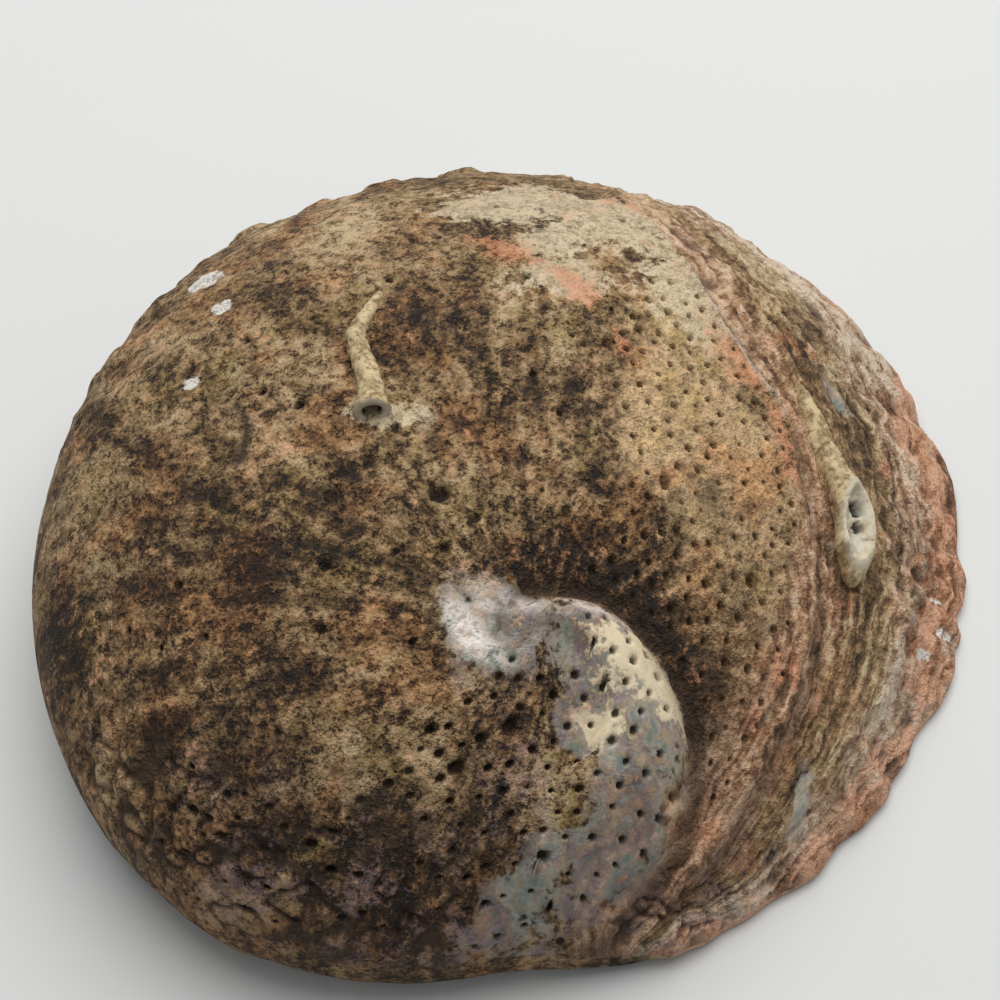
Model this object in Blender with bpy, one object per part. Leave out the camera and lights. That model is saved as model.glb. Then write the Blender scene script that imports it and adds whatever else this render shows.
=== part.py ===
"""An abalone shell lying on its opening, with two worm tubes cemented to its back.

Metres, +Z up. +X is the front end of the shell, +Y its left side with the row of pores,
and the origin is on the ground under the middle of its box.
"""
import math
import random

import bmesh
import bpy
import numpy as np

MM = 0.001

# Driving dimensions, in metres
LENGTH = 0.180
HEIGHT = 0.052
WALL = 0.0044
SPIRE_WALL = 0.0036
PORE_LENGTH = 0.0062
PORE_WIDTH = 0.0044
PORE_RIM = 0.0017
PIT_DIAMETER = 0.0022
PIT_DEPTH = 0.0017
LEDGES = 3
LEDGE_HEIGHT = 0.0016
CEMENT_GAP = 0.0003

# The section of the shell at bearings 15 degrees apart, counted from +X towards +Y.
# Widest reach, as a share of half the length
REACH = (0.992, 0.990, 0.972, 0.932, 0.892, 0.868, 0.856, 0.858, 0.872, 0.897, 0.934, 0.972,
         0.990, 0.956, 0.900, 0.895, 0.880, 0.862, 0.860, 0.868, 0.888, 0.915, 0.948, 0.977)
# Height of that widest reach over the ground, in millimetres
WAIST = (3, 4, 6, 8, 10, 12, 13, 14, 14, 15, 15, 15,
         14, 13, 10, 4, 2, 1.6, 1.6, 1.6, 1.6, 1.6, 2, 2.4)
# How far the wall draws in below it, in millimetres
TUCK = (1, 1.5, 2.5, 4, 5, 6, 7, 7, 7, 7, 7, 7,
        7, 6, 4, 1.5, 0.8, 0.6, 0.6, 0.6, 0.6, 0.6, 0.7, 0.8)
# Width of the flat shelf that the shell lies on, in millimetres
SHELF = (4, 4, 5, 7, 9, 10, 11, 11, 11, 11, 11, 11,
         10, 9, 7, 4, 3.2, 3, 3, 3, 3, 3, 3.2, 3.6)
# How round the side is: 1 falls away like a cone, 2 is full and upright at the waist
FULLNESS = (1.2, 1.3, 1.4, 1.55, 1.7, 1.8, 1.9, 1.95, 2.0, 2.0, 2.0, 2.0,
            1.9, 1.8, 1.6, 1.4, 1.2, 1.1, 1.0, 1.0, 1.0, 1.0, 1.1, 1.15)
# How flat the top is on the way there
CROWN = (2.1, 2.1, 2.1, 2.1, 2.2, 2.3, 2.4, 2.4, 2.4, 2.4, 2.4, 2.35,
         2.3, 2.2, 2.1, 2.0, 1.9, 1.85, 1.8, 1.8, 1.8, 1.85, 1.9, 2.0)

# Lines on the back of the shell seen from above, in millimetres.
# Each runs clockwise, so that the younger shell is on its left.
SUTURE = ((-42, -25), (-41, -21), (-36, -20), (-30, -25), (-27, -32), (-28, -40), (-32, -47),
          (-39, -52), (-48, -54), (-58, -51), (-68, -47))
OLD_LIP = ((66, 26), (56, 7), (44, -10), (34, -22), (29, -31), (23, -40), (13, -47), (5, -52),
           (-5, -57), (-19, -60), (-35, -59), (-50, -57), (-62, -52))
YOUNG_LIP = ((72, 22), (65, 6), (54, -11), (49, -24), (46, -38), (44, -50), (37, -60), (27, -66),
             (12, -69), (-4, -70), (-22, -68), (-40, -64), (-56, -57))
APEX = (-38, -26)

# The lip runs from the end of the suture to the row of pores: bearings in degrees
LIP_START = 222
LIP_SPAN = 188

# Pores along a spiral: bearing in degrees and share of the reach; the first ones are open
PORES = ((35, 0.93), (46, 0.935), (57, 0.942), (68, 0.95), (79, 0.95), (90, 0.94),
         (102, 0.92), (115, 0.89), (128, 0.86), (141, 0.82), (154, 0.77))
OPEN_PORES = 4

# The biggest bored pits, in millimetres seen from above, then the scattered ones
BIG_PITS = ((-61, -24), (-52, -28), (-63, -39), (-35, 12), (-28, -3), (-4.5, -30), (-8, -47), (-20, 48))
PIT_COUNT = 64
PIT_TRIES = 1500
PIT_SPACING = 4.4

# Tubes cemented to the back: paths in millimetres seen from above, and their radii along the way
WORM_PATH = ((3.5, 25.5), (-1, 25), (-6, 24), (-10, 21), (-14, 17), (-20, 13))
WORM_RADII = (1.1, 1.8, 2.1, 2.3, 2.4, 2.7)
SNAIL_PATH = ((34, -37), (31, -40.5), (27, -44), (23.5, -48), (21, -51), (17, -54), (12, -56.5), (8, -58))
SNAIL_RADII = (1.2, 1.9, 2.2, 2.3, 2.8, 3.4, 3.3, 1.8)
SNAIL_MOUTH = (16, -54.5)

# Mesh fineness, with more bearings on the side of the lip and the spire
BEARINGS = 92
DENSE_BEARING = math.radians(262)
OUTER_RINGS = 24
INNER_RINGS = 9


def curve_value(a, b, c, d, share):
    """Value on a smooth curve from b to c, with a before and d after."""
    return b + 0.5 * share * (c - a + share * (2 * a - 5 * b + 4 * c - d + share * (3 * (b - c) + d - a)))


def around(table, bearing):
    """Value at a bearing in radians, on a smooth closed curve through a table's values."""
    table = np.asarray(table, float)
    count = len(table)
    place = np.mod(np.asarray(bearing, float) / math.tau, 1.0) * count
    whole = np.floor(place)
    i = whole.astype(int) % count
    return curve_value(table[i - 1], table[i], table[(i + 1) % count], table[(i + 2) % count], place - whole)


def smooth_line(points, steps=5):
    """Points along a smooth curve through the given ones, in metres."""
    points = np.asarray(points, float) * MM
    padded = np.vstack((2 * points[0] - points[1], points, 2 * points[-1] - points[-2]))
    found = []
    for i in range(1, len(padded) - 2):
        for share in np.arange(steps) / steps:
            found.append(curve_value(*padded[i - 1:i + 3], share))
    found.append(points[-1])
    return np.array(found)


def across(line, x, y):
    """Distance to the left of a line, in metres, and the share of the way along it."""
    start, step = line[:-1], np.diff(line, axis=0)
    dx = x[..., None] - start[:, 0]
    dy = y[..., None] - start[:, 1]
    share = np.clip((dx * step[:, 0] + dy * step[:, 1]) / (step ** 2).sum(1), 0, 1)
    gap = np.hypot(dx - share * step[:, 0], dy - share * step[:, 1])
    nearest = gap.argmin(-1)[..., None]
    side = np.take_along_axis(step[:, 0] * dy - step[:, 1] * dx, nearest, -1)[..., 0]
    gap = np.take_along_axis(gap, nearest, -1)[..., 0]
    along = (nearest[..., 0] + np.take_along_axis(share, nearest, -1)[..., 0]) / len(step)
    return np.where(side >= 0, gap, -gap), along


def bell(distance, width):
    return np.exp(-(distance / width) ** 2)


def ends(along, first, last):
    """1 in the middle of a line, falling to 0 within the given shares of its two ends."""
    return np.clip(along / first, 0, 1) * np.clip((1 - along) / last, 0, 1)


SUTURE_LINE = smooth_line(SUTURE)
OLD_LIP_LINE = smooth_line(OLD_LIP)
YOUNG_LIP_LINE = smooth_line(YOUNG_LIP)


def lip_share(bearing):
    """1 along the growing lip, 0 along the thick inner edge."""
    turn = np.mod(bearing - math.radians(LIP_START), math.tau)
    return np.clip(turn / 0.1, 0, 1) * np.clip((math.radians(LIP_SPAN) - turn) / 0.5, 0, 1)


def reach(bearing):
    """Widest radius at a bearing, without the lip's scallops."""
    return 0.5 * LENGTH * around(REACH, bearing)


def scallops(bearing):
    """How far the wavy edge of the lip stands out there."""
    wave = 0.9 * np.sin(13 * bearing + 0.6) + 0.8 * np.sin(22 * bearing + 2.0) + 0.4 * np.sin(37 * bearing)
    return wave * MM * lip_share(bearing)


def waist(bearing):
    return around(WAIST, bearing) * MM


def pore_places(pores=PORES):
    places = []
    for degrees, share in pores:
        bearing = math.radians(degrees)
        radius = float(reach(bearing)) * share
        places.append((radius * math.cos(bearing), radius * math.sin(bearing)))
    return places


def ledges(x, y, bearing):
    """Height of the overlapping growth ledges between the old lip and the edge."""
    off, along = across(OLD_LIP_LINE, x, y)
    off = np.clip(off, 0, None)
    margin = np.clip(reach(bearing) - np.hypot(x, y), 0, None)
    place = off / (off + margin + 0.5 * MM)
    tooth = np.mod(place * LEDGES + 0.12 * np.sin(9 * bearing), 1.0)
    return LEDGE_HEIGHT * (tooth ** 2 - 0.35) * np.clip(off / (6 * MM), 0, 1) * ends(along, 0.06, 0.1)


def growth_step(line, x, y, height):
    """An old lip's edge: the older shell lifts towards it, and the younger one starts lower."""
    off, along = across(line, x, y)
    older = np.exp(np.minimum(off, 0) / (7 * MM)) * (off < 0)
    younger = 0.9 * np.exp(-np.maximum(off, 0) / (6 * MM)) * (off >= 0)
    edge = np.clip(np.abs(off) / (1.2 * MM), 0, 1)
    return height * (older - younger) * edge * ends(along, 0.12, 0.12)


def relief(x, y):
    """Height of the whorls, growth steps and pore rims over the plain dome."""
    off, along = across(SUTURE_LINE, x, y)
    spire = 2.8 * bell(off + 9 * MM, 6.5 * MM)
    crease = 3.4 * bell(off, 2.4 * MM) + 1.8 * bell(off - 5 * MM, 5 * MM)
    height = (spire - crease) * MM * ends(along, 0.3, 0.001)
    height = height + growth_step(OLD_LIP_LINE, x, y, 2.3 * MM)
    height = height + growth_step(YOUNG_LIP_LINE, x, y, 1.6 * MM)
    for n, (px, py) in enumerate(pore_places()):
        size = PORE_RIM if n < OPEN_PORES else 0.5 * PORE_RIM
        height = height + size * bell(np.hypot(x - px, y - py), 4.6 * MM)
    return height


def dome(share, bearing):
    """A point on the plain outer dome, at a share of the reach."""
    radius = reach(bearing) * share + scallops(bearing) * share ** 8
    low = waist(bearing)
    fall = np.clip(1 - share ** around(CROWN, bearing), 0, 1) ** (1 / around(FULLNESS, bearing))
    return np.stack((radius * np.cos(bearing), radius * np.sin(bearing), low + (HEIGHT - low) * fall), -1)


def back(share, bearing):
    """A point on the shell's back, with its relief, which fades out towards the waist."""
    point = dome(share, bearing)
    x, y = point[..., 0], point[..., 1]
    fade = np.clip((1 - share) / 0.05, 0, 1)
    point[..., 2] += (relief(x, y) + ledges(x, y, bearing)) * fade
    return point


def height_at(x, y):
    """Height of the shell's back over a place seen from above."""
    bearing = np.asarray(np.mod(np.arctan2(y, x), math.tau))
    return back(np.asarray(np.hypot(x, y) / reach(bearing)), bearing)[..., 2]


def mouth_at(x, y):
    """The point of the shell's back over a place, and the direction straight out of it."""
    d = 1.5 * MM
    slope_x = float(height_at(x + d, y) - height_at(x - d, y)) / (2 * d)
    slope_y = float(height_at(x, y + d) - height_at(x, y - d)) / (2 * d)
    out = np.array((-slope_x, -slope_y, 1.0))
    return np.array((x, y, float(height_at(x, y)))), out / np.linalg.norm(out)


def inside(share, bearing):
    """A point of the smooth inner face, a wall's thickness in from the dome."""
    d = 0.004
    base = dome(share, bearing)
    along_t = dome(share, bearing + d) - dome(share, bearing - d)
    along_s = dome(np.minimum(share + d, 1.0), bearing) - dome(np.maximum(share - d, 0.001), bearing)
    out = np.cross(along_s, along_t)
    out /= np.linalg.norm(out, axis=-1, keepdims=True)
    spire = bell(np.hypot(base[..., 0] - APEX[0] * MM, base[..., 1] - APEX[1] * MM), 26 * MM)
    return base - out * (WALL + SPIRE_WALL * spire)[..., None]


def ring(radius, z, bearing):
    return np.stack((radius * np.cos(bearing), radius * np.sin(bearing), z + 0 * bearing), -1)


def shell_bearings():
    even = np.arange(BEARINGS) * math.tau / BEARINGS
    return np.mod(even - 0.35 * np.sin(even - DENSE_BEARING), math.tau)


def shell_rings():
    """Closed rings from the top of the back, over the rim and up the inside."""
    t = shell_bearings()
    rings = []
    even = 0.65 * np.clip(2.0 - around(FULLNESS, t), 0, 1)
    for k in range(1, OUTER_RINGS + 1):
        step = k / OUTER_RINGS
        rings.append(back(even * step + (1 - even) * math.sin(0.5 * math.pi * step), t))
    widest, low = reach(t) + scallops(t), waist(t)
    tuck, shelf = around(TUCK, t) * MM, around(SHELF, t) * MM
    for turn in (0.2 * math.pi, 0.375 * math.pi):
        rings.append(ring(widest - tuck * (1 - math.cos(turn)), low * (1 - math.sin(turn)), t))
    foot = widest - tuck
    rings.append(ring(foot, 0, t))
    rings.append(ring(foot - shelf, 0, t))
    hook = np.clip((shelf - 4 * MM) / (6 * MM), 0, 1)
    rings.append(ring(foot - shelf + (1.5 * hook - 0.9) * MM, (1.5 + 1.8 * hook) * MM, t))
    rings.append(ring(foot - shelf + (8.7 * hook - 2.2) * MM, (3.4 + 2.6 * hook) * MM, t))
    for k in range(INNER_RINGS):
        share = math.sin(0.4 * math.pi * (1 - k / INNER_RINGS))
        rings.append(inside(np.full_like(t, share), t))
    return rings


def loft(name, rings, top, bottom, material, collection):
    """A closed solid through rings of equal count, with a point at each end."""
    bm = bmesh.new()
    rows = [[bm.verts.new(tuple(p)) for p in points] for points in rings]
    first = bm.verts.new(top)
    last = bm.verts.new(bottom)
    count = len(rows[0])
    for i in range(count):
        j = (i + 1) % count
        bm.faces.new((first, rows[0][i], rows[0][j]))
        bm.faces.new((last, rows[-1][j], rows[-1][i]))
        for upper, lower in zip(rows, rows[1:]):
            bm.faces.new((upper[i], lower[i], lower[j], upper[j]))
    return finish_mesh(name, bm, material, collection)


def finish_mesh(name, bm, material, collection):
    mesh = bpy.data.meshes.new(name)
    bm.to_mesh(mesh)
    bm.free()
    return add_object(name, mesh, material, collection)


def add_object(name, mesh, material, collection):
    obj = bpy.data.objects.new(name, mesh)
    collection.objects.link(obj)
    mesh.materials.clear()
    if material:
        mesh.materials.append(material)
    else:
        obj.hide_render = True
        obj.display_type = "WIRE"
    return obj


def paint(name, colour, roughness):
    material = bpy.data.materials.new(name)
    material.use_nodes = True
    shader = material.node_tree.nodes["Principled BSDF"]
    shader.inputs["Base Color"].default_value = (*colour, 1.0)
    shader.inputs["Roughness"].default_value = roughness
    shader.inputs["Metallic"].default_value = 0.0
    return material


def bore(mouth, out, depth, radius, sides=6, along=(0.3, 0.9, 0.1), stretch=1.0, above=2 * MM):
    """What one tapering hole needs: its mouth, the way out, its depth and its section."""
    return mouth, out, depth, radius, sides, along, stretch, above


def bore_cutter(name, bores, collection):
    """One cutter made of a tapering prism for each hole."""
    bm = bmesh.new()
    for mouth, out, depth, radius, sides, along, stretch, above in bores:
        side = np.asarray(along, float) - out * np.dot(along, out)
        side /= np.linalg.norm(side)
        third = np.cross(out, side)
        made = bmesh.ops.create_cone(
            bm, cap_ends=True, segments=sides, radius1=0.75 * radius, radius2=radius, depth=depth + above)
        for v in made["verts"]:
            x, y, z = v.co
            v.co = mouth + side * x * stretch + third * y + out * (z + 0.5 * (above - depth))
    return finish_mesh(name, bm, None, collection)


def cut(obj, cutter):
    modifier = obj.modifiers.new(cutter.name, "BOOLEAN")
    modifier.operation = "DIFFERENCE"
    modifier.object = cutter


def pit_places():
    """Bored pits: the biggest by hand, the others scattered over the worn back."""
    draw = random.Random(11)
    places = [(x * MM, y * MM) for x, y in BIG_PITS]
    for _ in range(PIT_TRIES):
        angle = math.radians(draw.uniform(-190, -5))
        radius = draw.uniform(9, 40) * MM
        x = APEX[0] * MM + radius * math.cos(angle)
        y = APEX[1] * MM + radius * math.sin(angle)
        edge = math.hypot(x, y) / float(reach(math.atan2(y, x)))
        crease = float(across(SUTURE_LINE, np.array(x), np.array(y))[0])
        step = float(across(OLD_LIP_LINE, np.array(x), np.array(y))[0])
        close = any(math.hypot(x - a, y - b) < PIT_SPACING * MM for a, b in places)
        if edge < 0.9 and abs(crease) > 3.5 * MM and step < -3 * MM and not close:
            places.append((x, y))
    return places[:PIT_COUNT]


def pit_bores():
    bores = []
    for n, (x, y) in enumerate(pit_places()):
        size = 1.3 if n < len(BIG_PITS) else 1.0
        mouth, out = mouth_at(x, y)
        bores.append(bore(mouth, out, PIT_DEPTH * size, 0.5 * PIT_DIAMETER * size))
    return bores


def pore_bores():
    places = pore_places()
    bores = []
    for n in range(OPEN_PORES):
        mouth, out = mouth_at(*places[n])
        along = np.array((*np.subtract(places[n + 1], places[n]), 0.0))
        bores.append(bore(mouth, out, 12 * MM, 0.6 * PORE_WIDTH, 12, along, PORE_LENGTH / PORE_WIDTH))
    return bores


def tube(name, path, radii, lift, material, collection, grow=0.0):
    """A closed round tube along the shell's back, made from a bevelled curve."""
    curve = bpy.data.curves.new(name, "CURVE")
    curve.dimensions = "3D"
    curve.bevel_depth = 1.0
    curve.bevel_resolution = 2
    curve.use_fill_caps = True
    spline = curve.splines.new("POLY")
    points = smooth_line(path, 2)
    spline.points.add(len(points) - 1)
    shares = np.linspace(0, len(radii) - 1, len(points))
    for point, (x, y), share in zip(spline.points, points, shares):
        radius = float(np.interp(share, range(len(radii)), radii)) * MM
        mouth, out = mouth_at(x, y)
        point.co = (*(mouth + out * radius * lift), 1.0)
        point.radius = radius + grow
    guide = bpy.data.objects.new(name + " guide", curve)
    collection.objects.link(guide)
    bpy.context.view_layer.update()
    mesh = bpy.data.meshes.new_from_object(guide.evaluated_get(bpy.context.evaluated_depsgraph_get()))
    bpy.data.objects.remove(guide)
    bm = bmesh.new()
    bm.from_mesh(mesh)
    bpy.data.meshes.remove(mesh)
    bmesh.ops.remove_doubles(bm, verts=bm.verts, dist=0.01 * MM)
    return finish_mesh(name, bm, material, collection)


def worm_mouth():
    """The open end of the small tube, a round hole along its last stretch."""
    x, y = np.array(WORM_PATH[-1]) * MM
    back_x, back_y = np.array(WORM_PATH[-2]) * MM
    point, out = mouth_at(x, y)
    start, _ = mouth_at(back_x, back_y)
    axis = (point - start) / np.linalg.norm(point - start)
    return [bore(point + out * 1.1 * MM, axis, 4 * MM, 1.5 * MM, 10)]


def snail_mouth():
    """The dished opening on top of the oval end of the large tube."""
    x, y = np.array(SNAIL_MOUTH) * MM
    point, out = mouth_at(x, y)
    along = np.array((*np.subtract(SNAIL_PATH[-2], SNAIL_PATH[-4]), 0.0))
    return [bore(point + out * 4.6 * MM, out, 2.2 * MM, 1.7 * MM, 12, along, 2.8)]


def smooth(obj):
    obj.data.shade_smooth()
    obj.data.set_sharp_from_angle(angle=math.radians(35))


def main():
    for obj in list(bpy.data.objects):
        bpy.data.objects.remove(obj)
    part = bpy.data.collections.new("abalone shell")
    cutters = bpy.data.collections.new("cutters")
    bpy.context.scene.collection.children.link(part)
    bpy.context.scene.collection.children.link(cutters)

    crust = paint("crusted shell", (0.23, 0.15, 0.09), 0.8)
    lime = paint("worm lime", (0.52, 0.46, 0.34), 0.7)

    rings = shell_rings()
    peak = float(height_at(np.array(0.0), np.array(0.0)))
    shell = loft("shell", rings, (0.0, 0.0, peak), (0.0, 0.0, HEIGHT - WALL), crust, part)
    cut(shell, bore_cutter("pore cutters", pore_bores(), cutters))
    cut(shell, bore_cutter("pit cutters", pit_bores(), cutters))

    worm = tube("worm_tube", WORM_PATH, WORM_RADII, 0.45, lime, part)
    cut(worm, bore_cutter("worm mouth", worm_mouth(), cutters))
    cut(shell, tube("worm groove", WORM_PATH, WORM_RADII, 0.45, None, cutters, CEMENT_GAP))

    snail = tube("snail_tube", SNAIL_PATH, SNAIL_RADII, 0.4, lime, part)
    cut(snail, bore_cutter("snail mouth", snail_mouth(), cutters))
    cut(shell, tube("snail groove", SNAIL_PATH, SNAIL_RADII, 0.4, None, cutters, CEMENT_GAP))

    plan = np.concatenate(rings)[:, :2]
    middle = 0.5 * (plan.max(0) + plan.min(0))
    for obj in bpy.data.objects:
        obj.location = (-middle[0], -middle[1], 0.0)
    for obj in part.objects:
        smooth(obj)


main()
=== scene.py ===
"""Dresses the abalone shell: crust, worn pearl, bored pits, layered lip and worm tubes."""

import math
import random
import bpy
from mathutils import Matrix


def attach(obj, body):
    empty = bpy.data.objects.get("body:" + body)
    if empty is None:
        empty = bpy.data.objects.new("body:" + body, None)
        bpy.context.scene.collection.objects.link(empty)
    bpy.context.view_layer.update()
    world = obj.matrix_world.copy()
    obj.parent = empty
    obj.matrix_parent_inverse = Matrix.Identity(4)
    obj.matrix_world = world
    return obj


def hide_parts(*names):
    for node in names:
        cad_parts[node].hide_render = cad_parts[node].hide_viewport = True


bl_info = {
    "name": "Abalone Shell",
    "version": (1, 0, 0),
    "blender": (4, 5, 0),
    "location": "View3D > Sidebar > Abalone",
    "description": "Builds a crusted abalone shell with worn mother-of-pearl and worm tubes",
    "category": "Add Mesh",
}

import bpy
import numpy as np
from mathutils import Vector
from mathutils.geometry import delaunay_2d_cdt

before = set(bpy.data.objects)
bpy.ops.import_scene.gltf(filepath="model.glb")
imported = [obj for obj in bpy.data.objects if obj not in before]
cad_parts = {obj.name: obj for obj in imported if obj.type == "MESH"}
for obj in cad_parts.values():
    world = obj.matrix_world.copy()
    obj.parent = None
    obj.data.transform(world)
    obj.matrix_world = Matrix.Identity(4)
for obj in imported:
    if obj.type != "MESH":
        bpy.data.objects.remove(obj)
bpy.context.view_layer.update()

MM = 0.001

# The shell's own measures, in millimetres, as in its solid
HALF_LENGTH = 90.0
HEIGHT = 52.0
WALL = 4.4
SPIRE_WALL = 3.6
REACH = (0.992, 0.990, 0.972, 0.932, 0.892, 0.868, 0.856, 0.858, 0.872, 0.897, 0.934, 0.972,
         0.990, 0.956, 0.900, 0.895, 0.880, 0.862, 0.860, 0.868, 0.888, 0.915, 0.948, 0.977)
WAIST = (3, 4, 6, 8, 10, 12, 13, 14, 14, 15, 15, 15,
         14, 13, 10, 4, 2, 1.6, 1.6, 1.6, 1.6, 1.6, 2, 2.4)
TUCK = (1, 1.5, 2.5, 4, 5, 6, 7, 7, 7, 7, 7, 7,
        7, 6, 4, 1.5, 0.8, 0.6, 0.6, 0.6, 0.6, 0.6, 0.7, 0.8)
SHELF = (4, 4, 5, 7, 9, 10, 11, 11, 11, 11, 11, 11,
         10, 9, 7, 4, 3.2, 3, 3, 3, 3, 3, 3.2, 3.6)
FULLNESS = (1.2, 1.3, 1.4, 1.55, 1.7, 1.8, 1.9, 1.95, 2.0, 2.0, 2.0, 2.0,
            1.9, 1.8, 1.6, 1.4, 1.2, 1.1, 1.0, 1.0, 1.0, 1.0, 1.1, 1.15)
CROWN = (2.1, 2.1, 2.1, 2.1, 2.2, 2.3, 2.4, 2.4, 2.4, 2.4, 2.4, 2.35,
         2.3, 2.2, 2.1, 2.0, 1.9, 1.85, 1.8, 1.8, 1.8, 1.85, 1.9, 2.0)
SUTURE = ((-42, -25), (-41, -21), (-36, -20), (-30, -25), (-27, -32), (-28, -40), (-32, -47),
          (-39, -52), (-48, -54), (-58, -51), (-68, -47))
OLD_LIP = ((66, 26), (56, 7), (44, -10), (34, -22), (29, -31), (23, -40), (13, -47), (5, -52),
           (-5, -57), (-19, -60), (-35, -59), (-50, -57), (-62, -52))
YOUNG_LIP = ((72, 22), (65, 6), (54, -11), (49, -24), (46, -38), (44, -50), (37, -60), (27, -66),
             (12, -69), (-4, -70), (-22, -68), (-40, -64), (-56, -57))
APEX = (-38, -26)
LIP_START = 222
LIP_SPAN = 188
LEDGES = 3
LEDGE_HEIGHT = 1.6
PORES = ((35, 0.93), (46, 0.935), (57, 0.942), (68, 0.95), (79, 0.95), (90, 0.94),
         (102, 0.92), (115, 0.89), (128, 0.86), (141, 0.82), (154, 0.77))
OPEN_PORES = 4
PORE_RIM = 1.7
PORE_SIZE = (3.1, 2.2)
BIG_PITS = ((-61, -24), (-52, -28), (-63, -39), (-35, 12), (-28, -3), (-4.5, -30), (-8, -47),
            (-20, 48))
BIG_PIT_RADIUS = 1.3
PIT_SEED = 11
PIT_RINGS = ((1.25, 8), (0.98, 8), (0.66, 6), (0.0, 1))
PORE_BORE = ((-12.0, 0.8), (-3.0, 0.86), (0.2, 1.0), (3.0, 1.3))
SCAR_MIDDLE = (8, 6)
SCAR_SIZE = (24, 17)
BEARINGS = 92
DENSE_BEARING = math.radians(262)
WORM_PATH = ((3.5, 25.5), (-1, 25), (-6, 24), (-10, 21), (-14, 17), (-20, 13))
WORM_RADII = (0.8, 1.3, 1.6, 1.75, 1.9, 2.5)
SNAIL_PATH = ((34, -37), (31, -40.5), (27, -44), (23.5, -48), (21, -51), (17, -54), (12, -56.5),
              (8, -58))
SNAIL_RADII = (1.2, 1.9, 2.2, 2.3, 2.8, 3.4, 3.3, 1.8)
WORM_LIFT = 0.45
SNAIL_LIFT = 0.4
WORM_MOUTH = 1.5
MOUTH_FLARE = 1.12
DISH_MIDDLE = (15.5, -54.5)
DISH_SIZE = (7.2, 2.35)
DISH_HOLES = ((-2.8, 1.25), (0.6, 0.95))

# Patches of colour on the back: middle x and y, half lengths along and across, and the turn
PALE_PATCHES = (
    (41, 19, 13, 8, -50), (45, 1, 12, 9, 90), (33, -15, 13, 7, 50), (33, 7, 7, 6, 0),
    (-34, -41, 4.6, 6.5, 20), (-44, -40, 2, 3, 60), (21, 3, 8, 5, -60),
    (50, 8, 8, 3, -60), (-18, 12, 6, 2.4, -60))
FAINT_PATCHES = (
    (-57, 6, 7, 4, 20), (-11, 8, 6, 4, 0), (-31, 26, 9, 6, 60), (-67, -7, 9, 6, 0),
    (-59, 41, 7, 5, 40), (-79, 25, 7, 5, 60), (9, 26, 12, 4, -40), (30, 40, 12, 5, -30),
    (-5, -35, 9, 5, 40), (20, 3, 10, 8, 0), (-61, -35, 8, 5, 0),
    (-20, 30, 8, 8, 0), (-62, -20, 12, 5, 20), (-50, 42, 6, 10, 20))
# Darker over the left and low side: partly the crust's own darker tone, partly painted shade
DIM_AND_SHADE_PATCHES = (
    (-62, 16, 44, 28, 70), (-17, -49, 18, 8, 30), (-78, -14, 24, 32, 0),
    (-60, -24, 16, 14, 0), (-48, 40, 18, 14, 60), (-55, -48, 12, 7, -20))
DARK_PATCHES = (
    (-2, 45, 9, 6, 60), (2, 14, 15, 9, 20), (-11, -2, 12, 5, -30), (-36, -4, 12, 4, 35),
    (-58, 10, 18, 4, 60), (-78, -8, 10, 14, 0), (40, 40, 16, 4, 30), (-3, 36, 16, 4, 60),
    (20, 1, 4, 1.5, 0), (22, -8, 5, 1.5, -20), (-39, 32, 12, 5, 50), (-49, 17, 12, 4, 60),
    (-74, -26, 9, 12, 20), (16, 52, 14, 3, 10), (-62, 44, 12, 6, 40), (-50, 38, 14, 7, 60),
    (36, -34, 9, 2, 50), (-76, 12, 12, 5, 80))
RED_PATCHES = (
    (24, 12, 8, 3.0, 80), (20.5, -1, 6, 2.8, 65), (13.5, -13, 3.6, 2, 50),
    (26, -29, 8, 3.0, 57), (19, -40, 8, 3.2, 57), (56, -2, 2.5, 12, 20))
WARM_PATCHES = (
    (6, -31, 19, 12, 45), (-10, -45, 18, 9, 30), (-28, -55, 10, 5, 20), (26, -20, 12, 8, 60))
PEARL_PATCHES = (
    (-40, -22, 7, 5, 0), (-46, -17, 6, 3, 20), (-36, -33, 8, 9, 0), (-42, -44, 11, 8, 0),
    (-53, -46, 11, 6, -20), (-66, -38, 9, 4.5, -25), (-47, -36, 4, 4, 0))
APEX_PATCHES = ((-38, -20.5, 6, 3.0, -62), (-44, -18.5, 7.5, 4.6, 80), (-42, -22, 5, 4.5, 0))
# Where a painted highlight lies on the pearl round the spire's tip
PAINTED_GLINT_PATCHES = ((-38, -20, 5, 1.9, -62), (-44, -17.5, 6, 3.0, 80), (-31, -30, 2, 7, 10))
# Where a purplish tint with a painted sheen lies, besides the bored low edge behind the spire
SHEEN_PATCHES = ((-50, -31, 8, 6, 0), (-60, -34, 8, 6, -20))
LIP_PEARL_PATCHES = ((40, -42, 2.5, 3.6, -20), (-28, -66, 6, 1.5, 10))

# White chips and the ledge's own pits, each with a place and a radius, and two lines on the dome
CHIPS = (
    (22.8, -70.2, 1.5), (17.2, -74.0, 1.6), (10.8, -72.3, 1.2), (3.2, 60.4, 3.2),
    (-4.9, 51.0, 2.0), (-22.5, 45.5, 1.4))
LEDGE_PITS = (
    (13.5, 0.6, 0.8), (10.2, -6.0, 0.6), (9.6, -8.4, 0.7), (11.4, -11.2, 0.8),
    (12.8, -14.2, 0.6), (8.3, -19.0, 0.6), (5.2, -16.2, 0.6), (18.5, 6.5, 0.7))
RAGGED_LEDGE = ((25, 17), (18, 7), (13.5, -1), (10.5, -9), (8, -18))
CRACK = ((-25, 35), (-29, 30.5), (-35, 28.5))

# Middles of the crinkled pearl and of the lime trails, and bearings of the bored edge, in degrees
CRINKLES = (-42, -18)
TRAILS = (-36, -4)
SHEEN_BEARING = 206
WORMY_BEARING = 195

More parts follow.
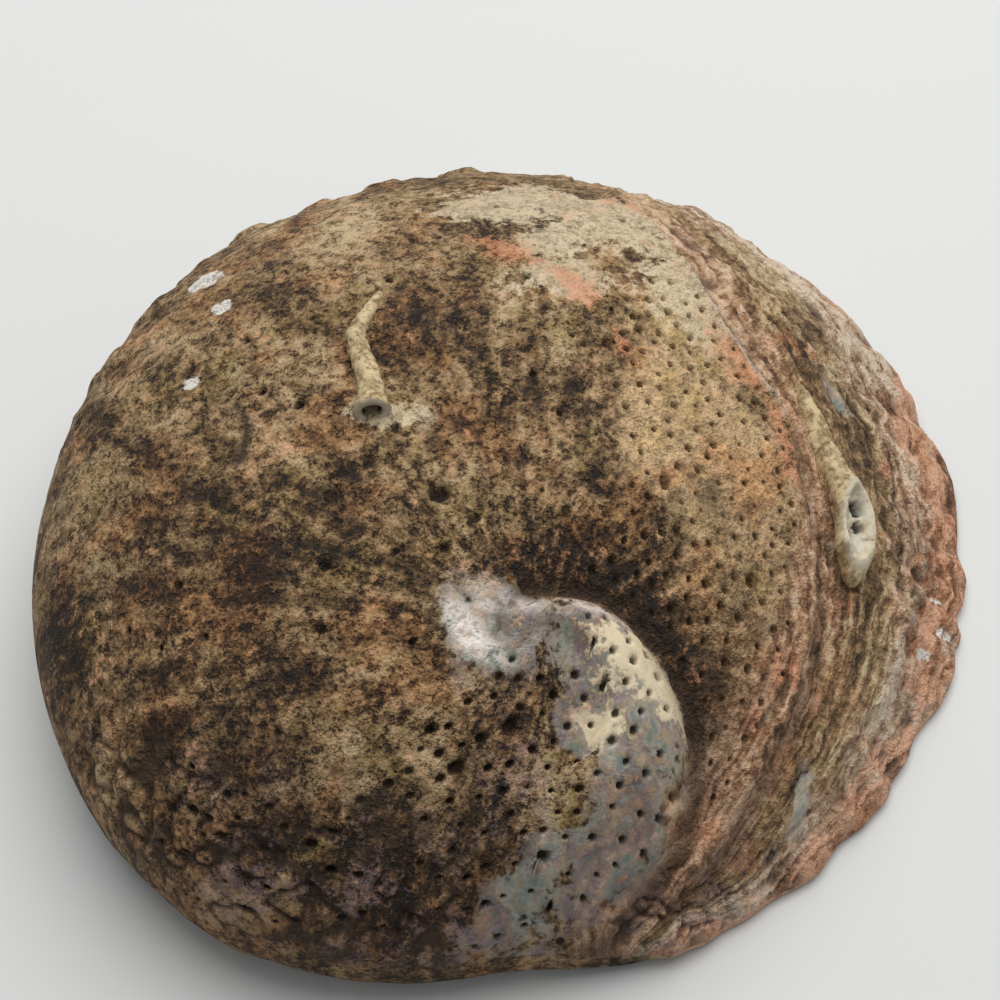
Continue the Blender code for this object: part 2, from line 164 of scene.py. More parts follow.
# Fineness of the dressed mesh: lengths in millimetres, then the seed of its spread and counts
FINE_STEP = 0.76
FLAT_RADIUS = 95.0
SPREAD_SEED = 5
EDGE_POINTS = 340
WALL_RINGS = 9
SHELF_RINGS = 6
INNER_RINGS = 30
PORE_TURNS = 20
TUBE_STEPS = 14
TUBE_TURNS = 28

# Sizes of the noise in the finishes, in millimetres
COARSE_LUMP = 34
RUST_LUMP = 12
MIDDLE_LUMP = 7
VEIN_LUMP = 3.4
SMALL_GRAIN = 1.9
TINY_GRAIN = 0.6
LIME_LUMP = 3.2
LIME_GRAIN = 0.9

# Colours of the smaller parts of each finish
PEARL_STOPS = (
    (0.30, (0.15, 0.17, 0.20)), (0.40, (0.22, 0.25, 0.22)), (0.47, (0.40, 0.36, 0.29)),
    (0.53, (0.32, 0.25, 0.26)), (0.60, (0.21, 0.24, 0.20)), (0.70, (0.23, 0.18, 0.24)))
LIP_STOPS = (
    (0.10, (0.035, 0.022, 0.013)), (0.32, (0.125, 0.076, 0.042)), (0.48, (0.255, 0.155, 0.092)),
    (0.64, (0.400, 0.270, 0.170)), (0.88, (0.600, 0.490, 0.370)))
CRUST_SHADOW = (0.014, 0.009, 0.006)
WARM_GRAIN = (0.76, 0.53, 0.29)
CHALK_STAIN = (0.36, 0.27, 0.16)
CHALK_ON_PEARL = (0.86, 0.74, 0.50)
# Colour of the painted highlight along the lips' raised edges
CREST_HIGHLIGHT = (0.52, 0.42, 0.33)
CHIP_WHITE = (0.66, 0.62, 0.56)
PEARL_SHADE = (0.50, 0.56, 0.55)
# Colour of the painted highlight on the pearl
PAINTED_PEARL_GLINT = (0.80, 0.72, 0.66)
# Partly the purplish tint of the bored pearl, partly a painted sheen
PURPLE_TINT_AND_PAINTED_SHEEN = (0.16, 0.11, 0.14)
INNER_MILK = (0.60, 0.60, 0.57)
# Colour of the painted shade in the hollows, the crack, under the old lip's step and along the suture
HOLLOW_SHADE = (0.040, 0.024, 0.014)
# Painted shade inside the bored pits, browner in the warm zone
PIT_SHADE = (0.018, 0.011, 0.006)
WARM_PIT_SHADE = (0.110, 0.060, 0.026)
LIME_STAIN = (0.25, 0.16, 0.07)
LIME_SPECK = (0.12, 0.08, 0.04)
MOUTH_PALE = (0.56, 0.54, 0.44)
# Painted shade inside the worm tube's mouth and the dish's holes
THROAT_SHADE = (0.012, 0.009, 0.006)

# The stage: lengths in metres, but the aim in millimetres over the shell's own middle
FLOOR_SIZE = 6.0
FLOOR_GREY = (0.61, 0.62, 0.61)
AIM = (1.7, 2.5, 14)
WINDOW_RIGHT = 0.08
WINDOW_AHEAD = 0.36
WINDOW_UP = 0.88
WINDOW_SIZE = 1.4
WINDOW_POWER = 12.7
WINDOW_COLOUR = (1.0, 0.985, 0.96)
ROOM_COLOUR = (0.93, 0.96, 1.0, 1.0)
ROOM_STRENGTH = 0.38


def curve_value(a, b, c, d, share):
    """Value on a smooth curve from b to c, with a before and d after."""
    bend = 2 * a - 5 * b + 4 * c - d + share * (3 * (b - c) + d - a)
    return b + 0.5 * share * (c - a + share * bend)


def around(table, bearing):
    """Value at a bearing in radians, on a smooth closed curve through a table's values."""
    table = np.asarray(table, float)
    count = len(table)
    place = np.mod(np.asarray(bearing, float) / math.tau, 1.0) * count
    whole = np.floor(place)
    i = whole.astype(int) % count
    after, later = table[(i + 1) % count], table[(i + 2) % count]
    return curve_value(table[i - 1], table[i], after, later, place - whole)


def smooth_line(points, steps=5):
    """Points along a smooth curve through the given ones."""
    points = np.asarray(points, float)
    padded = np.vstack((2 * points[0] - points[1], points, 2 * points[-1] - points[-2]))
    found = []
    for i in range(1, len(padded) - 2):
        for share in np.arange(steps) / steps:
            found.append(curve_value(*padded[i - 1:i + 3], share))
    found.append(points[-1])
    return np.array(found)


def across(line, x, y):
    """Distance to the left of a line, and the share of the way along it."""
    start, step = line[:-1], np.diff(line, axis=0)
    dx = x[..., None] - start[:, 0]
    dy = y[..., None] - start[:, 1]
    share = np.clip((dx * step[:, 0] + dy * step[:, 1]) / (step ** 2).sum(1), 0, 1)
    gap = np.hypot(dx - share * step[:, 0], dy - share * step[:, 1])
    nearest = gap.argmin(-1)[..., None]
    side = np.take_along_axis(step[:, 0] * dy - step[:, 1] * dx, nearest, -1)[..., 0]
    gap = np.take_along_axis(gap, nearest, -1)[..., 0]
    along = (nearest[..., 0] + np.take_along_axis(share, nearest, -1)[..., 0]) / len(step)
    return np.where(side >= 0, gap, -gap), along


def bell(distance, width):
    """1 at no distance, falling softly to 0 over a few widths."""
    return np.exp(-(distance / width) ** 2)


def ramp(value, low, high):
    """0 below low, 1 above high, and a smooth rise between."""
    share = np.clip((value - low) / (high - low), 0, 1)
    return share * share * (3 - 2 * share)


def ends(along, first, last):
    """1 in the middle of a line, falling to 0 within the given shares of its two ends."""
    return np.clip(along / first, 0, 1) * np.clip((1 - along) / last, 0, 1)


def lattice(cells, seed):
    """A repeatable value between -1 and 1 for each whole-numbered cell."""
    mixed = cells[..., 0] * 73856093 ^ cells[..., 1] * 19349663 ^ cells[..., 2] * 83492791
    mixed = mixed ^ seed * 2654435761
    mixed = (mixed ^ (mixed >> 13)) * 1274126177 & 0x7FFFFFFF
    mixed = (mixed ^ (mixed >> 16)) * 668265263 & 0x7FFFFFFF
    return (mixed & 0xFFFF) / 32767.5 - 1.0


def noise(points, size, seed):
    """Smooth noise between about -1 and 1, with lumps of a given size."""
    place = points / size
    whole = np.floor(place).astype(np.int64)
    share = place - whole
    share = share * share * (3 - 2 * share)
    total = 0
    for corner in np.ndindex(2, 2, 2):
        weight = np.prod(np.where(np.array(corner) == 1, share, 1 - share), axis=-1)
        total = total + weight * lattice(whole + np.array(corner), seed)
    return total


def rough(points, size, seed, octaves=3):
    """Noise with finer noise on it."""
    total, weight = 0, 1.0
    for k in range(octaves):
        total = total + weight * noise(points, size / 2 ** k, seed + 17 * k)
        weight *= 0.5
    return total / 1.6


SUTURE_LINE = smooth_line(SUTURE)
OLD_LIP_LINE = smooth_line(OLD_LIP)
YOUNG_LIP_LINE = smooth_line(YOUNG_LIP)


def lip_share(bearing):
    """1 along the layered lip, 0 on the older side, with soft ends."""
    turn = np.mod(bearing - math.radians(LIP_START), math.tau)
    return np.clip(turn / 0.1, 0, 1) * np.clip((math.radians(LIP_SPAN) - turn) / 0.5, 0, 1)


def reach(bearing):
    """How far the shell's edge lies from its middle, seen from above."""
    return HALF_LENGTH * around(REACH, bearing)


def scallops(bearing):
    """How far the lip's waves stand out, in millimetres."""
    wave = 0.9 * np.sin(13 * bearing + 0.6) + 0.8 * np.sin(22 * bearing + 2.0)
    return (wave + 0.4 * np.sin(37 * bearing)) * lip_share(bearing)


def pore_places():
    """Middles of the row of pores, seen from above."""
    places = []
    for degrees, share in PORES:
        bearing = math.radians(degrees)
        radius = float(reach(bearing)) * share
        places.append((radius * math.cos(bearing), radius * math.sin(bearing)))
    return places


def lip_place(x, y, bearing):
    """Share of the way from the old lip out to the edge, 0 on the older shell."""
    off, along = across(OLD_LIP_LINE, x, y)
    margin = np.clip(reach(bearing) - np.hypot(x, y), 0, None)
    older = off <= 0
    off = np.clip(off, 0, None)
    return np.where(older, 0, off / (off + margin + 0.5)), off, along


def ledges(x, y, bearing):
    """Height of the growth ledges that step down to the lip's edge."""
    place, off, along = lip_place(x, y, bearing)
    tooth = np.mod(place * LEDGES + 0.12 * np.sin(9 * bearing), 1.0)
    return LEDGE_HEIGHT * (tooth ** 2 - 0.35) * np.clip(off / 6, 0, 1) * ends(along, 0.06, 0.1)


def growth_step(line, x, y, height):
    """Height of a step where an older lip ends and younger shell begins."""
    off, along = across(line, x, y)
    older = np.exp(np.minimum(off, 0) / 7) * (off < 0)
    younger = 0.9 * np.exp(-np.maximum(off, 0) / 6) * (off >= 0)
    edge = np.clip(np.abs(off) / 0.5, 0, 1)
    return height * (older - younger) * edge * ends(along, 0.12, 0.12)


def relief(x, y):
    """Spire, suture, growth steps and pore rims over the plain dome."""
    off, along = across(SUTURE_LINE, x, y)
    spire = 2.8 * bell(off + 9, 6.5)
    crease = 3.4 * bell(off, 2.4) + 1.8 * bell(off - 5, 5)
    height = (spire - crease) * ends(along, 0.3, 0.001)
    height = height + growth_step(OLD_LIP_LINE, x, y, 2.3) + growth_step(YOUNG_LIP_LINE, x, y, 1.6)
    for n, (px, py) in enumerate(pore_places()):
        size = PORE_RIM if n < OPEN_PORES else 0.5 * PORE_RIM
        height = height + size * bell(np.hypot(x - px, y - py), 4.6)
    return height


def dome(share, bearing):
    """The plain dome, at a share of the way out to the edge."""
    radius = reach(bearing) * share + scallops(bearing) * share ** 8
    low = around(WAIST, bearing)
    fall = np.clip(1 - share ** around(CROWN, bearing), 0, 1) ** (1 / around(FULLNESS, bearing))
    height = low + (HEIGHT - low) * fall
    return np.stack((radius * np.cos(bearing), radius * np.sin(bearing), height), -1)


def back(share, bearing):
    """The shell's back with its large relief."""
    point = dome(share, bearing)
    x, y = point[..., 0], point[..., 1]
    point[..., 2] += (relief(x, y) + ledges(x, y, bearing)) * np.clip((1 - share) / 0.05, 0, 1)
    return point


def share_of(flat, bearing):
    """Share of the reach at a place of the flat map, given as a share of the map's radius."""
    even = 0.65 * np.clip(2.0 - around(FULLNESS, bearing), 0, 1)
    return even * flat + (1 - even) * np.sin(0.5 * math.pi * flat)


def flat_of(x, y):
    """The place on the flat map, in millimetres, of a point seen from above."""
    bearing = math.atan2(y, x) % math.tau
    steps = np.linspace(0, 1, 400)
    shares = share_of(steps, np.full_like(steps, bearing))
    flat = float(np.interp(math.hypot(x, y) / float(reach(bearing)), shares, steps))
    return FLAT_RADIUS * flat * math.cos(bearing), FLAT_RADIUS * flat * math.sin(bearing)


def height_at(x, y):
    """Height of the shell's back over a place."""
    bearing = np.asarray(np.mod(np.arctan2(y, x), math.tau))
    return back(np.asarray(np.hypot(x, y) / reach(bearing)), bearing)[..., 2]


def mouth_at(x, y):
    """The point of the shell's back over a place, and the direction straight out of it."""
    d = 1.5
    slope_x = float(height_at(x + d, y) - height_at(x - d, y)) / (2 * d)
    slope_y = float(height_at(x, y + d) - height_at(x, y - d)) / (2 * d)
    out = np.array((-slope_x, -slope_y, 1.0))
    return np.array((x, y, float(height_at(x, y)))), out / np.linalg.norm(out)


def inside(share, bearing):
    """A point of the inner face, with the spire's hollow pressed into its thick part."""
    d = 0.004
    base = dome(share, bearing)
    along_t = dome(share, bearing + d) - dome(share, bearing - d)
    along_s = dome(np.minimum(share + d, 1.0), bearing) - dome(np.maximum(share - d, 0.001), bearing)
    out = np.cross(along_s, along_t)
    out /= np.linalg.norm(out, axis=-1, keepdims=True)
    gap = np.hypot(base[..., 0] - APEX[0], base[..., 1] - APEX[1])
    turn = np.arctan2(base[..., 1] - APEX[1], base[..., 0] - APEX[0])
    hollow = 3.4 * bell(gap, 9) + 1.2 * bell(gap - 14 - 2.2 * turn, 3.0) * bell(gap, 22)
    return base - out * (WALL + SPIRE_WALL * bell(gap, 26) - hollow)[..., None]


def plan_middle():
    """Middle of the solid's box before it was moved to the origin."""
    even = np.arange(BEARINGS) * math.tau / BEARINGS
    t = np.mod(even - 0.35 * np.sin(even - DENSE_BEARING), math.tau)
    edge = dome(np.ones_like(t), t)[:, :2]
    return 0.5 * (edge.max(0) + edge.min(0))


MIDDLE = plan_middle()


def placed(points):
    """Points in millimetres over the shell's own middle, in metres over the origin."""
    return (np.asarray(points, float) - np.array((MIDDLE[0], MIDDLE[1], 0.0))) * MM


def scattered_pits():
    """Places and radii of the bored pits: some listed, the rest by zones of the worn back."""
    draw = random.Random(PIT_SEED)
    found = [(x, y, BIG_PIT_RADIUS) for x, y in BIG_PITS] + list(LEDGE_PITS)

    def try_at(x, y, radius, spacing):
        if all(math.hypot(x - a, y - b) > spacing for a, b, _ in found):
            found.append((x, y, radius))

    # round the worn spire
    for _ in range(4200):
        angle = math.radians(draw.uniform(-200, -5))
        radius = draw.uniform(6, 42)
        x = APEX[0] + radius * math.cos(angle)
        y = APEX[1] + radius * math.sin(angle)
        size = draw.uniform(0.45, 0.78)
        edge = math.hypot(x, y) / float(reach(math.atan2(y, x)))
        crease = float(across(SUTURE_LINE, np.array(x), np.array(y))[0])
        step = float(across(OLD_LIP_LINE, np.array(x), np.array(y))[0])
        if edge < 0.97 and abs(crease) > 2.5 and step < -2.5:
            try_at(x, y, size, 2.7 if crease < 0 else 2.6)
    # behind the old lip, fewer farther away from it
    for _ in range(2200):
        x, y = draw.uniform(-20, 34), draw.uniform(-50, -8)
        size = draw.uniform(0.42, 0.7)
        step = float(across(OLD_LIP_LINE, np.array(x), np.array(y))[0])
        if -30 < step < -2.5 and draw.random() < math.exp(step / 22):
            try_at(x, y, size, 2.6)
    # a few over the dome
    for _ in range(90):
        x, y = draw.uniform(-75, 60), draw.uniform(-30, 60)
        size = draw.uniform(0.4, 0.75)
        if math.hypot(x, y) / float(reach(math.atan2(y, x))) < 0.9:
            try_at(x, y, size, 6.0)
    # along the low edge behind the spire
    for _ in range(900):
        bearing = math.radians(draw.uniform(172, 216))
        share = draw.uniform(0.86, 0.995)
        radius = float(reach(bearing)) * share
        size = draw.uniform(0.45, 0.95)
        try_at(radius * math.cos(bearing), radius * math.sin(bearing), size, 2.6)
    return found


def patches(table, x, y):
    """1 at the heart of a list of oval patches, 0.5 at their edges, 0 well away."""
    total = np.zeros_like(x)
    for cx, cy, long, wide, degrees in table:
        turn = math.radians(degrees)
        a = (x - cx) * math.cos(turn) + (y - cy) * math.sin(turn)
        b = (y - cy) * math.cos(turn) - (x - cx) * math.sin(turn)
        total = np.maximum(total, np.exp(-0.69 * ((a / long) ** 2 + (b / wide) ** 2)))
    return total


class Wire:
    """A shader value: an expression on it adds the Math nodes."""

    def __init__(self, paint, socket):
        self.paint = paint
        self.socket = socket

    def maths(self, operation, *values, clamp=False):
        """A Math node on this and other values."""
        return self.paint.node("ShaderNodeMath", {"operation": operation, "use_clamp": clamp},
                               dict(enumerate(values)))

    def __add__(self, other):
        return self.maths("ADD", self, other)

    __radd__ = __add__

    def __sub__(self, other):
        return self.maths("SUBTRACT", self, other)

    def __rsub__(self, other):
        return self.maths("SUBTRACT", other, self)

    def __mul__(self, other):
        return self.maths("MULTIPLY", self, other)

    __rmul__ = __mul__

    def within(self):
        """The value held between 0 and 1."""
        return self.maths("ADD", self, 0.0, clamp=True)

    def rise(self, low, high):
        """0 below low, 1 above high, and a smooth rise between."""
        return self.paint.node("ShaderNodeMapRange", {"interpolation_type": "SMOOTHSTEP"},
                               {"Value": self, "From Min": low, "From Max": high})


class Paint:
    """A material under construction."""

    def __init__(self, name):
        self.material = bpy.data.materials.new(name)
        self.material.use_nodes = True
        self.tree = self.material.node_tree
        self.shader = self.tree.nodes["Principled BSDF"]
        self.place = self.node("ShaderNodeTexCoord", {}, {}, "Object")

    def node(self, kind, settings, sockets, output=0):
        """Adds a node and gives its output; settings are set before the sockets."""
        made = self.tree.nodes.new(kind)
        for key, value in settings.items():
            if key == "stops":
                self.set_stops(made.color_ramp, value)
            else:
                setattr(made, key, value)
        for key, value in sockets.items():
            self.feed(made.inputs[key], value)
        return Wire(self, made.outputs[output])

    def set_stops(self, band, stops):
        """Fills a colour ramp with positions and colours."""
        while len(band.elements) < len(stops):
            band.elements.new(0.5)
        for element, (position, colour) in zip(band.elements, stops):
            element.position = position
            element.color = (*colour, 1.0)

    def feed(self, socket, value):
        """Links a shader value to a socket, or sets a constant on it."""
        if isinstance(value, Wire):
            self.tree.links.new(value.socket, socket)
        elif isinstance(value, tuple) and len(value) == 3 and socket.type == "RGBA":
            socket.default_value = (*value, 1.0)
        else:
            socket.default_value = value

    def set(self, **values):
        """Feeds the shader's own sockets, named with _ for each space."""
        for key, value in values.items():
            self.feed(self.shader.inputs[key.replace("_", " ")], value)

    def mask(self, name):
        """One of the mesh's own masks."""
        return self.node("ShaderNodeAttribute", {"attribute_name": name}, {}, "Fac")

    def mix(self, share, first, second, blend="MIX"):
        """Two colours mixed by a share of the second."""
        return self.node("ShaderNodeMix", {"data_type": "RGBA", "blend_type": blend},
                         {0: share, 6: first, 7: second}, 2)

    def grain(self, size, detail, roughness, warp=0.0):
        """Noise from 0 to 1 with lumps of a size in millimetres."""
        return self.node("ShaderNodeTexNoise", {},
                         {"Vector": self.place, "Scale": 1000.0 / size, "Detail": detail,
                          "Roughness": roughness, "Distortion": warp}, "Fac")

    def vector(self, x, y, z):
        return self.node("ShaderNodeCombineXYZ", {}, {"X": x, "Y": y, "Z": z}, "Vector")

    def bands(self, value, stops):
        """A colour for each value, from a ramp's stops."""
        return self.node("ShaderNodeValToRGB", {"stops": stops}, {"Fac": value}, "Color")

    def flow(self, vector, detail, roughness):
        """Noise from 0 to 1 that follows a vector of masks instead of the place."""
        return self.node("ShaderNodeTexNoise", {},
                         {"Vector": vector, "Scale": 1.0, "Detail": detail, "Roughness": roughness}, "Fac")

    def bump(self, height, distance, strength):
        """A surface direction from a height, over a distance in millimetres."""
        return self.node("ShaderNodeBump", {}, {"Height": height, "Distance": distance * MM,
                                                "Strength": strength}, "Normal")


def pearl_colour(paint, drift):
    """Mother-of-pearl: grey silver that drifts through lavender, green, pink and blue."""
    return paint.bands(drift, PEARL_STOPS)


def crust_colour(paint, sizes, coarse, rust, middle, small, tiny, crevice):
    """Grainy crust: light grains on dark ground, more of them where the tone is light."""
    # The dimmed places are darker over the left and low side, partly the crust's own tone and partly
    # painted shade
    dim, gutter = paint.mask("dim"), paint.mask("gutter")
    growth = paint.vector(paint.mask("sweep") * 12.0 + middle * 1.2, paint.mask("span") * 2.6, 0.0)
    streak = paint.flow(growth, 3.0, 0.6)
    # Painted shade: the grain is darkened in the crust's fine crevices
    grain = (small - 0.5) * 1.15 + (tiny - 0.5) * 0.45 - 0.20 * crevice
    tone = (coarse - 0.5) * 0.6 + (middle - 0.5) * 0.75 + (streak - 0.5) * 1.1
    dark = (paint.mask("dark") + 1.3 * (middle - 0.5) + 0.9 * (small - 0.5)).rise(0.30, 1.0)
    # Painted shade: the crust is darkened in the crease just outside the suture
    value = 0.58 + tone + 0.16 * paint.mask("faint") + grain - 0.13 * dark - 0.19 * dim - 0.40 * gutter
    colour = paint.bands(value, (
        (0.05, CRUST_SHADOW), (0.28, tuple(sizes.crust_dark)), (0.46, tuple(sizes.crust_brown)),
        (0.66, tuple(sizes.crust_tan)), (0.95, tuple(sizes.crust_grey))))
    warm = (paint.mask("warm") + 0.9 * (middle - 0.5)).rise(0.30, 0.75)
    warm_value = 0.63 + (small - 0.5) * 1.8 + (tiny - 0.5) * 0.8 + (streak - 0.5) - 0.50 * dim
    warm_tone = paint.mix(warm_value.within(), tuple(sizes.crust_brown), WARM_GRAIN)
    colour = paint.mix((warm * (1 - 0.8 * gutter) * 0.85).within(), colour, warm_tone)
    colour = paint.mix((rust.rise(0.48, 0.64) * 0.55).within(), colour, tuple(sizes.crust_rust), "MULTIPLY")
    return paint.mix((rust.rise(0.46, 0.36) * 0.7).within(), colour, tuple(sizes.crust_olive), "MULTIPLY")


def lip_colour(paint, sizes, rust, middle, small):
    """Layered lip: streaks along the growth lines in pink, brown, olive and pale lime."""
    lines, along = paint.mask("lines"), paint.mask("along")
    rim, green = paint.mask("rim"), paint.mask("olive")
    layer = paint.flow(paint.vector(lines * 22.0 + (middle - 0.5) * 3.2, along * 11.0, 0.0), 4.0, 0.62)
    end = along.rise(0.45, 0.80) * lines.rise(0.0, 0.6)
    start = along.rise(0.45, 0.10)
    # The small lift by the rim mask is painted light on the lip's edge and the wall under it, which face
    # down away from the window
    tone = 0.62 + 0.16 * start + 0.05 * rim + 0.16 * end
    value = tone + (layer - 0.5) * 1.9 + (small - 0.5) * 1.3 - 0.22 * green
    colour = paint.bands(value, LIP_STOPS)
    olive = (green + 1.8 * (middle - 0.5)).rise(0.35, 0.65)
    colour = paint.mix((olive * 0.75).within(), colour, tuple(sizes.crust_olive), "MULTIPLY")
    fresh = lines.rise(0.40, 0.05)
    colour = paint.mix((fresh * 0.40).within(), colour, tuple(sizes.crust_rust), "MULTIPLY")
    pink = (rim * 0.70 - 0.5 * start + 2.8 * (rust - 0.5) + 1.6 * (layer - 0.5)).rise(0.10, 0.60)
    return paint.mix((pink * 0.8).within(), colour, tuple(sizes.lip_pink), "MULTIPLY")


def shell_material(sizes):
    """Crust, chalk, worn pearl, lip and pits on one surface."""
    paint = Paint("crusted abalone shell")
    coarse = paint.grain(COARSE_LUMP, 2.0, 0.6)
    rust = paint.grain(RUST_LUMP, 3.0, 0.6)
    middle = paint.grain(MIDDLE_LUMP, 3.0, 0.65, 0.3)
    small = paint.grain(SMALL_GRAIN, 3.0, 0.74)
    tiny = paint.grain(TINY_GRAIN, 1.0, 0.6)
    lip, warm, inner, pit = (paint.mask(name) for name in ("lip", "warm", "inner", "pit"))
    pale_part, pearl_part = paint.mask("pale"), paint.mask("pearl")

    vein = paint.grain(VEIN_LUMP, 3.0, 0.64) - 0.5
    crust_part = (1 - lip - 0.7 * warm).within()
    # The crust's fine crevices, darkened in colour as painted shade and sunk in the bump
    crevice = vein.maths("ABSOLUTE", vein).rise(0.045, 0.0) * small.rise(0.60, 0.40) * crust_part
    colour = crust_colour(paint, sizes, coarse, rust, middle, small, tiny, crevice)
    red = paint.mask("red") + 2.4 * (middle - 0.5) + 2.0 * (small - 0.5) + (tiny - 0.5)
    pale = (pale_part + 1.8 * (middle - 0.5) + (small - 0.5)).rise(0.34, 0.62)
    chalk = paint.mix(((small - 0.5) * 1.6 + tiny).rise(0.1, 0.8), CHALK_STAIN, tuple(sizes.chalk))
    chalk = paint.mix(pearl_part, chalk, CHALK_ON_PEARL)
    colour = paint.mix((pale * 0.85).within(), colour, chalk)
    colour = paint.mix((red.rise(0.30, 0.90) * 0.62).within(), colour, tuple(sizes.coral_red))
    colour = paint.mix(lip, colour, lip_colour(paint, sizes, rust, middle, small))
    # Painted highlight: a pale line along the raised edges of the old and young lips
    crest = (paint.mask("crest") + 1.2 * (small - 0.5)).rise(0.45, 0.85)
    colour = paint.mix((crest * 0.8).within(), colour, CREST_HIGHLIGHT)
    chip = paint.mask("chip") * (1 + 3.0 * (small - 0.5) + 3.0 * (middle - 0.5))
    colour = paint.mix(chip.rise(0.36, 0.55), colour, CHIP_WHITE)

    pearl = pearl_colour(paint, middle)
    # Partly painted shade: the pearl is darkened too on the dimmed left and low side
    pearl = paint.mix(paint.mask("dim"), pearl, PEARL_SHADE, "MULTIPLY")
    # Painted highlight: the pearl is lightened into glints round the spire's tip
    glint = (paint.mask("glint") + 1.2 * (middle - 0.5) + 1.8 * (small - 0.5)).rise(0.42, 0.78)
    pearl = paint.mix((glint * 0.85).within(), pearl, PAINTED_PEARL_GLINT)
    worn = (pearl_part + 1.7 * (middle - 0.5) + 0.9 * (small - 0.5)).rise(0.44, 0.70)
    film = ((middle - 0.5) * 2.4 + (small - 0.5) * 2.2).rise(-0.32, 0.34)
    clean = (worn * (1 - 0.70 * film) * (1 - 0.85 * pale)).within()
    colour = paint.mix(clean, colour, pearl)
    # Partly the purplish pearl of the bored low edge, partly a painted sheen laid on in glossy-looking
    # patches
    painted_sheen_glints = ((middle - 0.5) * 3.0 + (tiny - 0.5) * 2.0).rise(0.0, 0.5)
    sheen = (paint.mask("sheen") * painted_sheen_glints * 0.55).within()
    colour = paint.mix(sheen, colour, PURPLE_TINT_AND_PAINTED_SHEEN)

    inside_pearl = paint.mix(0.40, pearl_colour(paint, coarse), INNER_MILK)
    inside_pearl = paint.mix((paint.mask("scar") * 0.7).within(), inside_pearl, pearl)
    colour = paint.mix(inner, colour, inside_pearl)

    # Painted shade: darker in the low places of the relief
    low = (paint.mask("low") * (0.35 + 1.1 * small)).within()
    colour = paint.mix(low, colour, HOLLOW_SHADE)
    # Painted shade: the bored pits are filled near-black, browner in the warm zone
    colour = paint.mix((pit * 0.92).within(), colour, paint.mix(warm, PIT_SHADE, WARM_PIT_SHADE))

    smooth_part = (clean * (1 - pit) + inner + 0.5 * sheen).within()
    roughness = (0.80 - 0.12 * pale - 0.50 * smooth_part + 0.25 * (small - 0.5)).within()
    bare = pearl_part.rise(0.30, 0.70) * 0.75 + 0.45 * pale_part + inner
    grit = (small + 0.25 * tiny - 0.22 * crevice) * (1 - bare).within()
    paint.set(Base_Color=colour, Roughness=roughness, Normal=paint.bump(grit, 1.3, 1.0),
              Specular_IOR_Level=0.30, Coat_Weight=(smooth_part * 0.4).within(), Coat_Roughness=0.16)
    return paint.material


def lime_material(name, sizes):
    """Stained cream lime of the worm tubes."""
    paint = Paint(name)
    middle = paint.grain(LIME_LUMP, 5.0, 0.6)
    small = paint.grain(LIME_GRAIN, 4.0, 0.6)
    clear = (middle * 0.6 + small * 0.4).rise(0.40, 0.58)
    colour = paint.mix(clear, LIME_STAIN, tuple(sizes.worm_lime))
    colour = paint.mix((small.rise(0.48, 0.36) * 0.5).within(), colour, LIME_SPECK)
    colour = paint.mix((paint.mask("dish") * 0.85).within(), colour, MOUTH_PALE)
    # Painted shade down the worm's mouth and in the dish's holes
    colour = paint.mix(paint.mask("throat").within(), colour, THROAT_SHADE)
    roughness = (0.7 - 0.35 * paint.mask("dish") + 0.15 * (small - 0.5)).within()
    paint.set(Base_Color=colour, Roughness=roughness,
              Normal=paint.bump(small * 0.5 + middle * 0.5, 0.35, 0.8), Specular_IOR_Level=0.4)
    return paint.material


def mesh_object(name, points, faces, material, masks=None):
    """A smooth mesh in the scene, with its masks as point values."""
    mesh = bpy.data.meshes.new(name)
    mesh.from_pydata([tuple(p) for p in points], [], faces)
    mesh.validate()
    mesh.materials.append(material)
    mesh.shade_smooth()
    for key, values in (masks or {}).items():
        layer = mesh.attributes.new(key, "FLOAT", "POINT")
        layer.data.foreach_set("value", np.ascontiguousarray(values, dtype=np.float32))
    obj = bpy.data.objects.new(name, mesh)
    bpy.context.scene.collection.objects.link(obj)
    return obj


def flat_points(pits):
    """Points of the back's flat map: an even spread, closer rings round the pits, and its rim."""
    draw = np.random.default_rng(SPREAD_SEED)
    step = FINE_STEP
    rows = np.arange(-FLAT_RADIUS, FLAT_RADIUS, step * 0.866)
    spread = []
    for n, v in enumerate(rows):
        u = np.arange(-FLAT_RADIUS, FLAT_RADIUS, step) + (0.5 * step if n % 2 else 0)
        spread.append(np.stack((u, np.full_like(u, v)), -1))
    spread = np.concatenate(spread)
    spread += draw.uniform(-0.18, 0.18, spread.shape) * step
    spread = spread[np.hypot(spread[:, 0], spread[:, 1]) < FLAT_RADIUS - 0.7 * step]
    rings = []
    for x, y, radius in pits:
        cx, cy = flat_of(x, y)
        gap = np.hypot(spread[:, 0] - cx, spread[:, 1] - cy)
        spread = spread[gap > radius * 1.5]
        lobes = draw.uniform(-0.12, 0.12, 3)
        for share, count in PIT_RINGS:
            turn = np.arange(count) * math.tau / count + share
            bulge = 1 + lobes[0] * np.cos(turn) + lobes[1] * np.sin(2 * turn) + lobes[2] * np.cos(3 * turn)
            wobble = radius * share * bulge
            rings.append(np.stack((cx + wobble * np.cos(turn), cy + wobble * np.sin(turn)), -1))
    rim_turn = np.arange(EDGE_POINTS) * math.tau / EDGE_POINTS
    rim = FLAT_RADIUS * np.stack((np.cos(rim_turn), np.sin(rim_turn)), -1)
    inner = np.concatenate([spread] + rings)
    inner = inner[np.hypot(inner[:, 0], inner[:, 1]) < FLAT_RADIUS - 0.4]
    return inner, rim


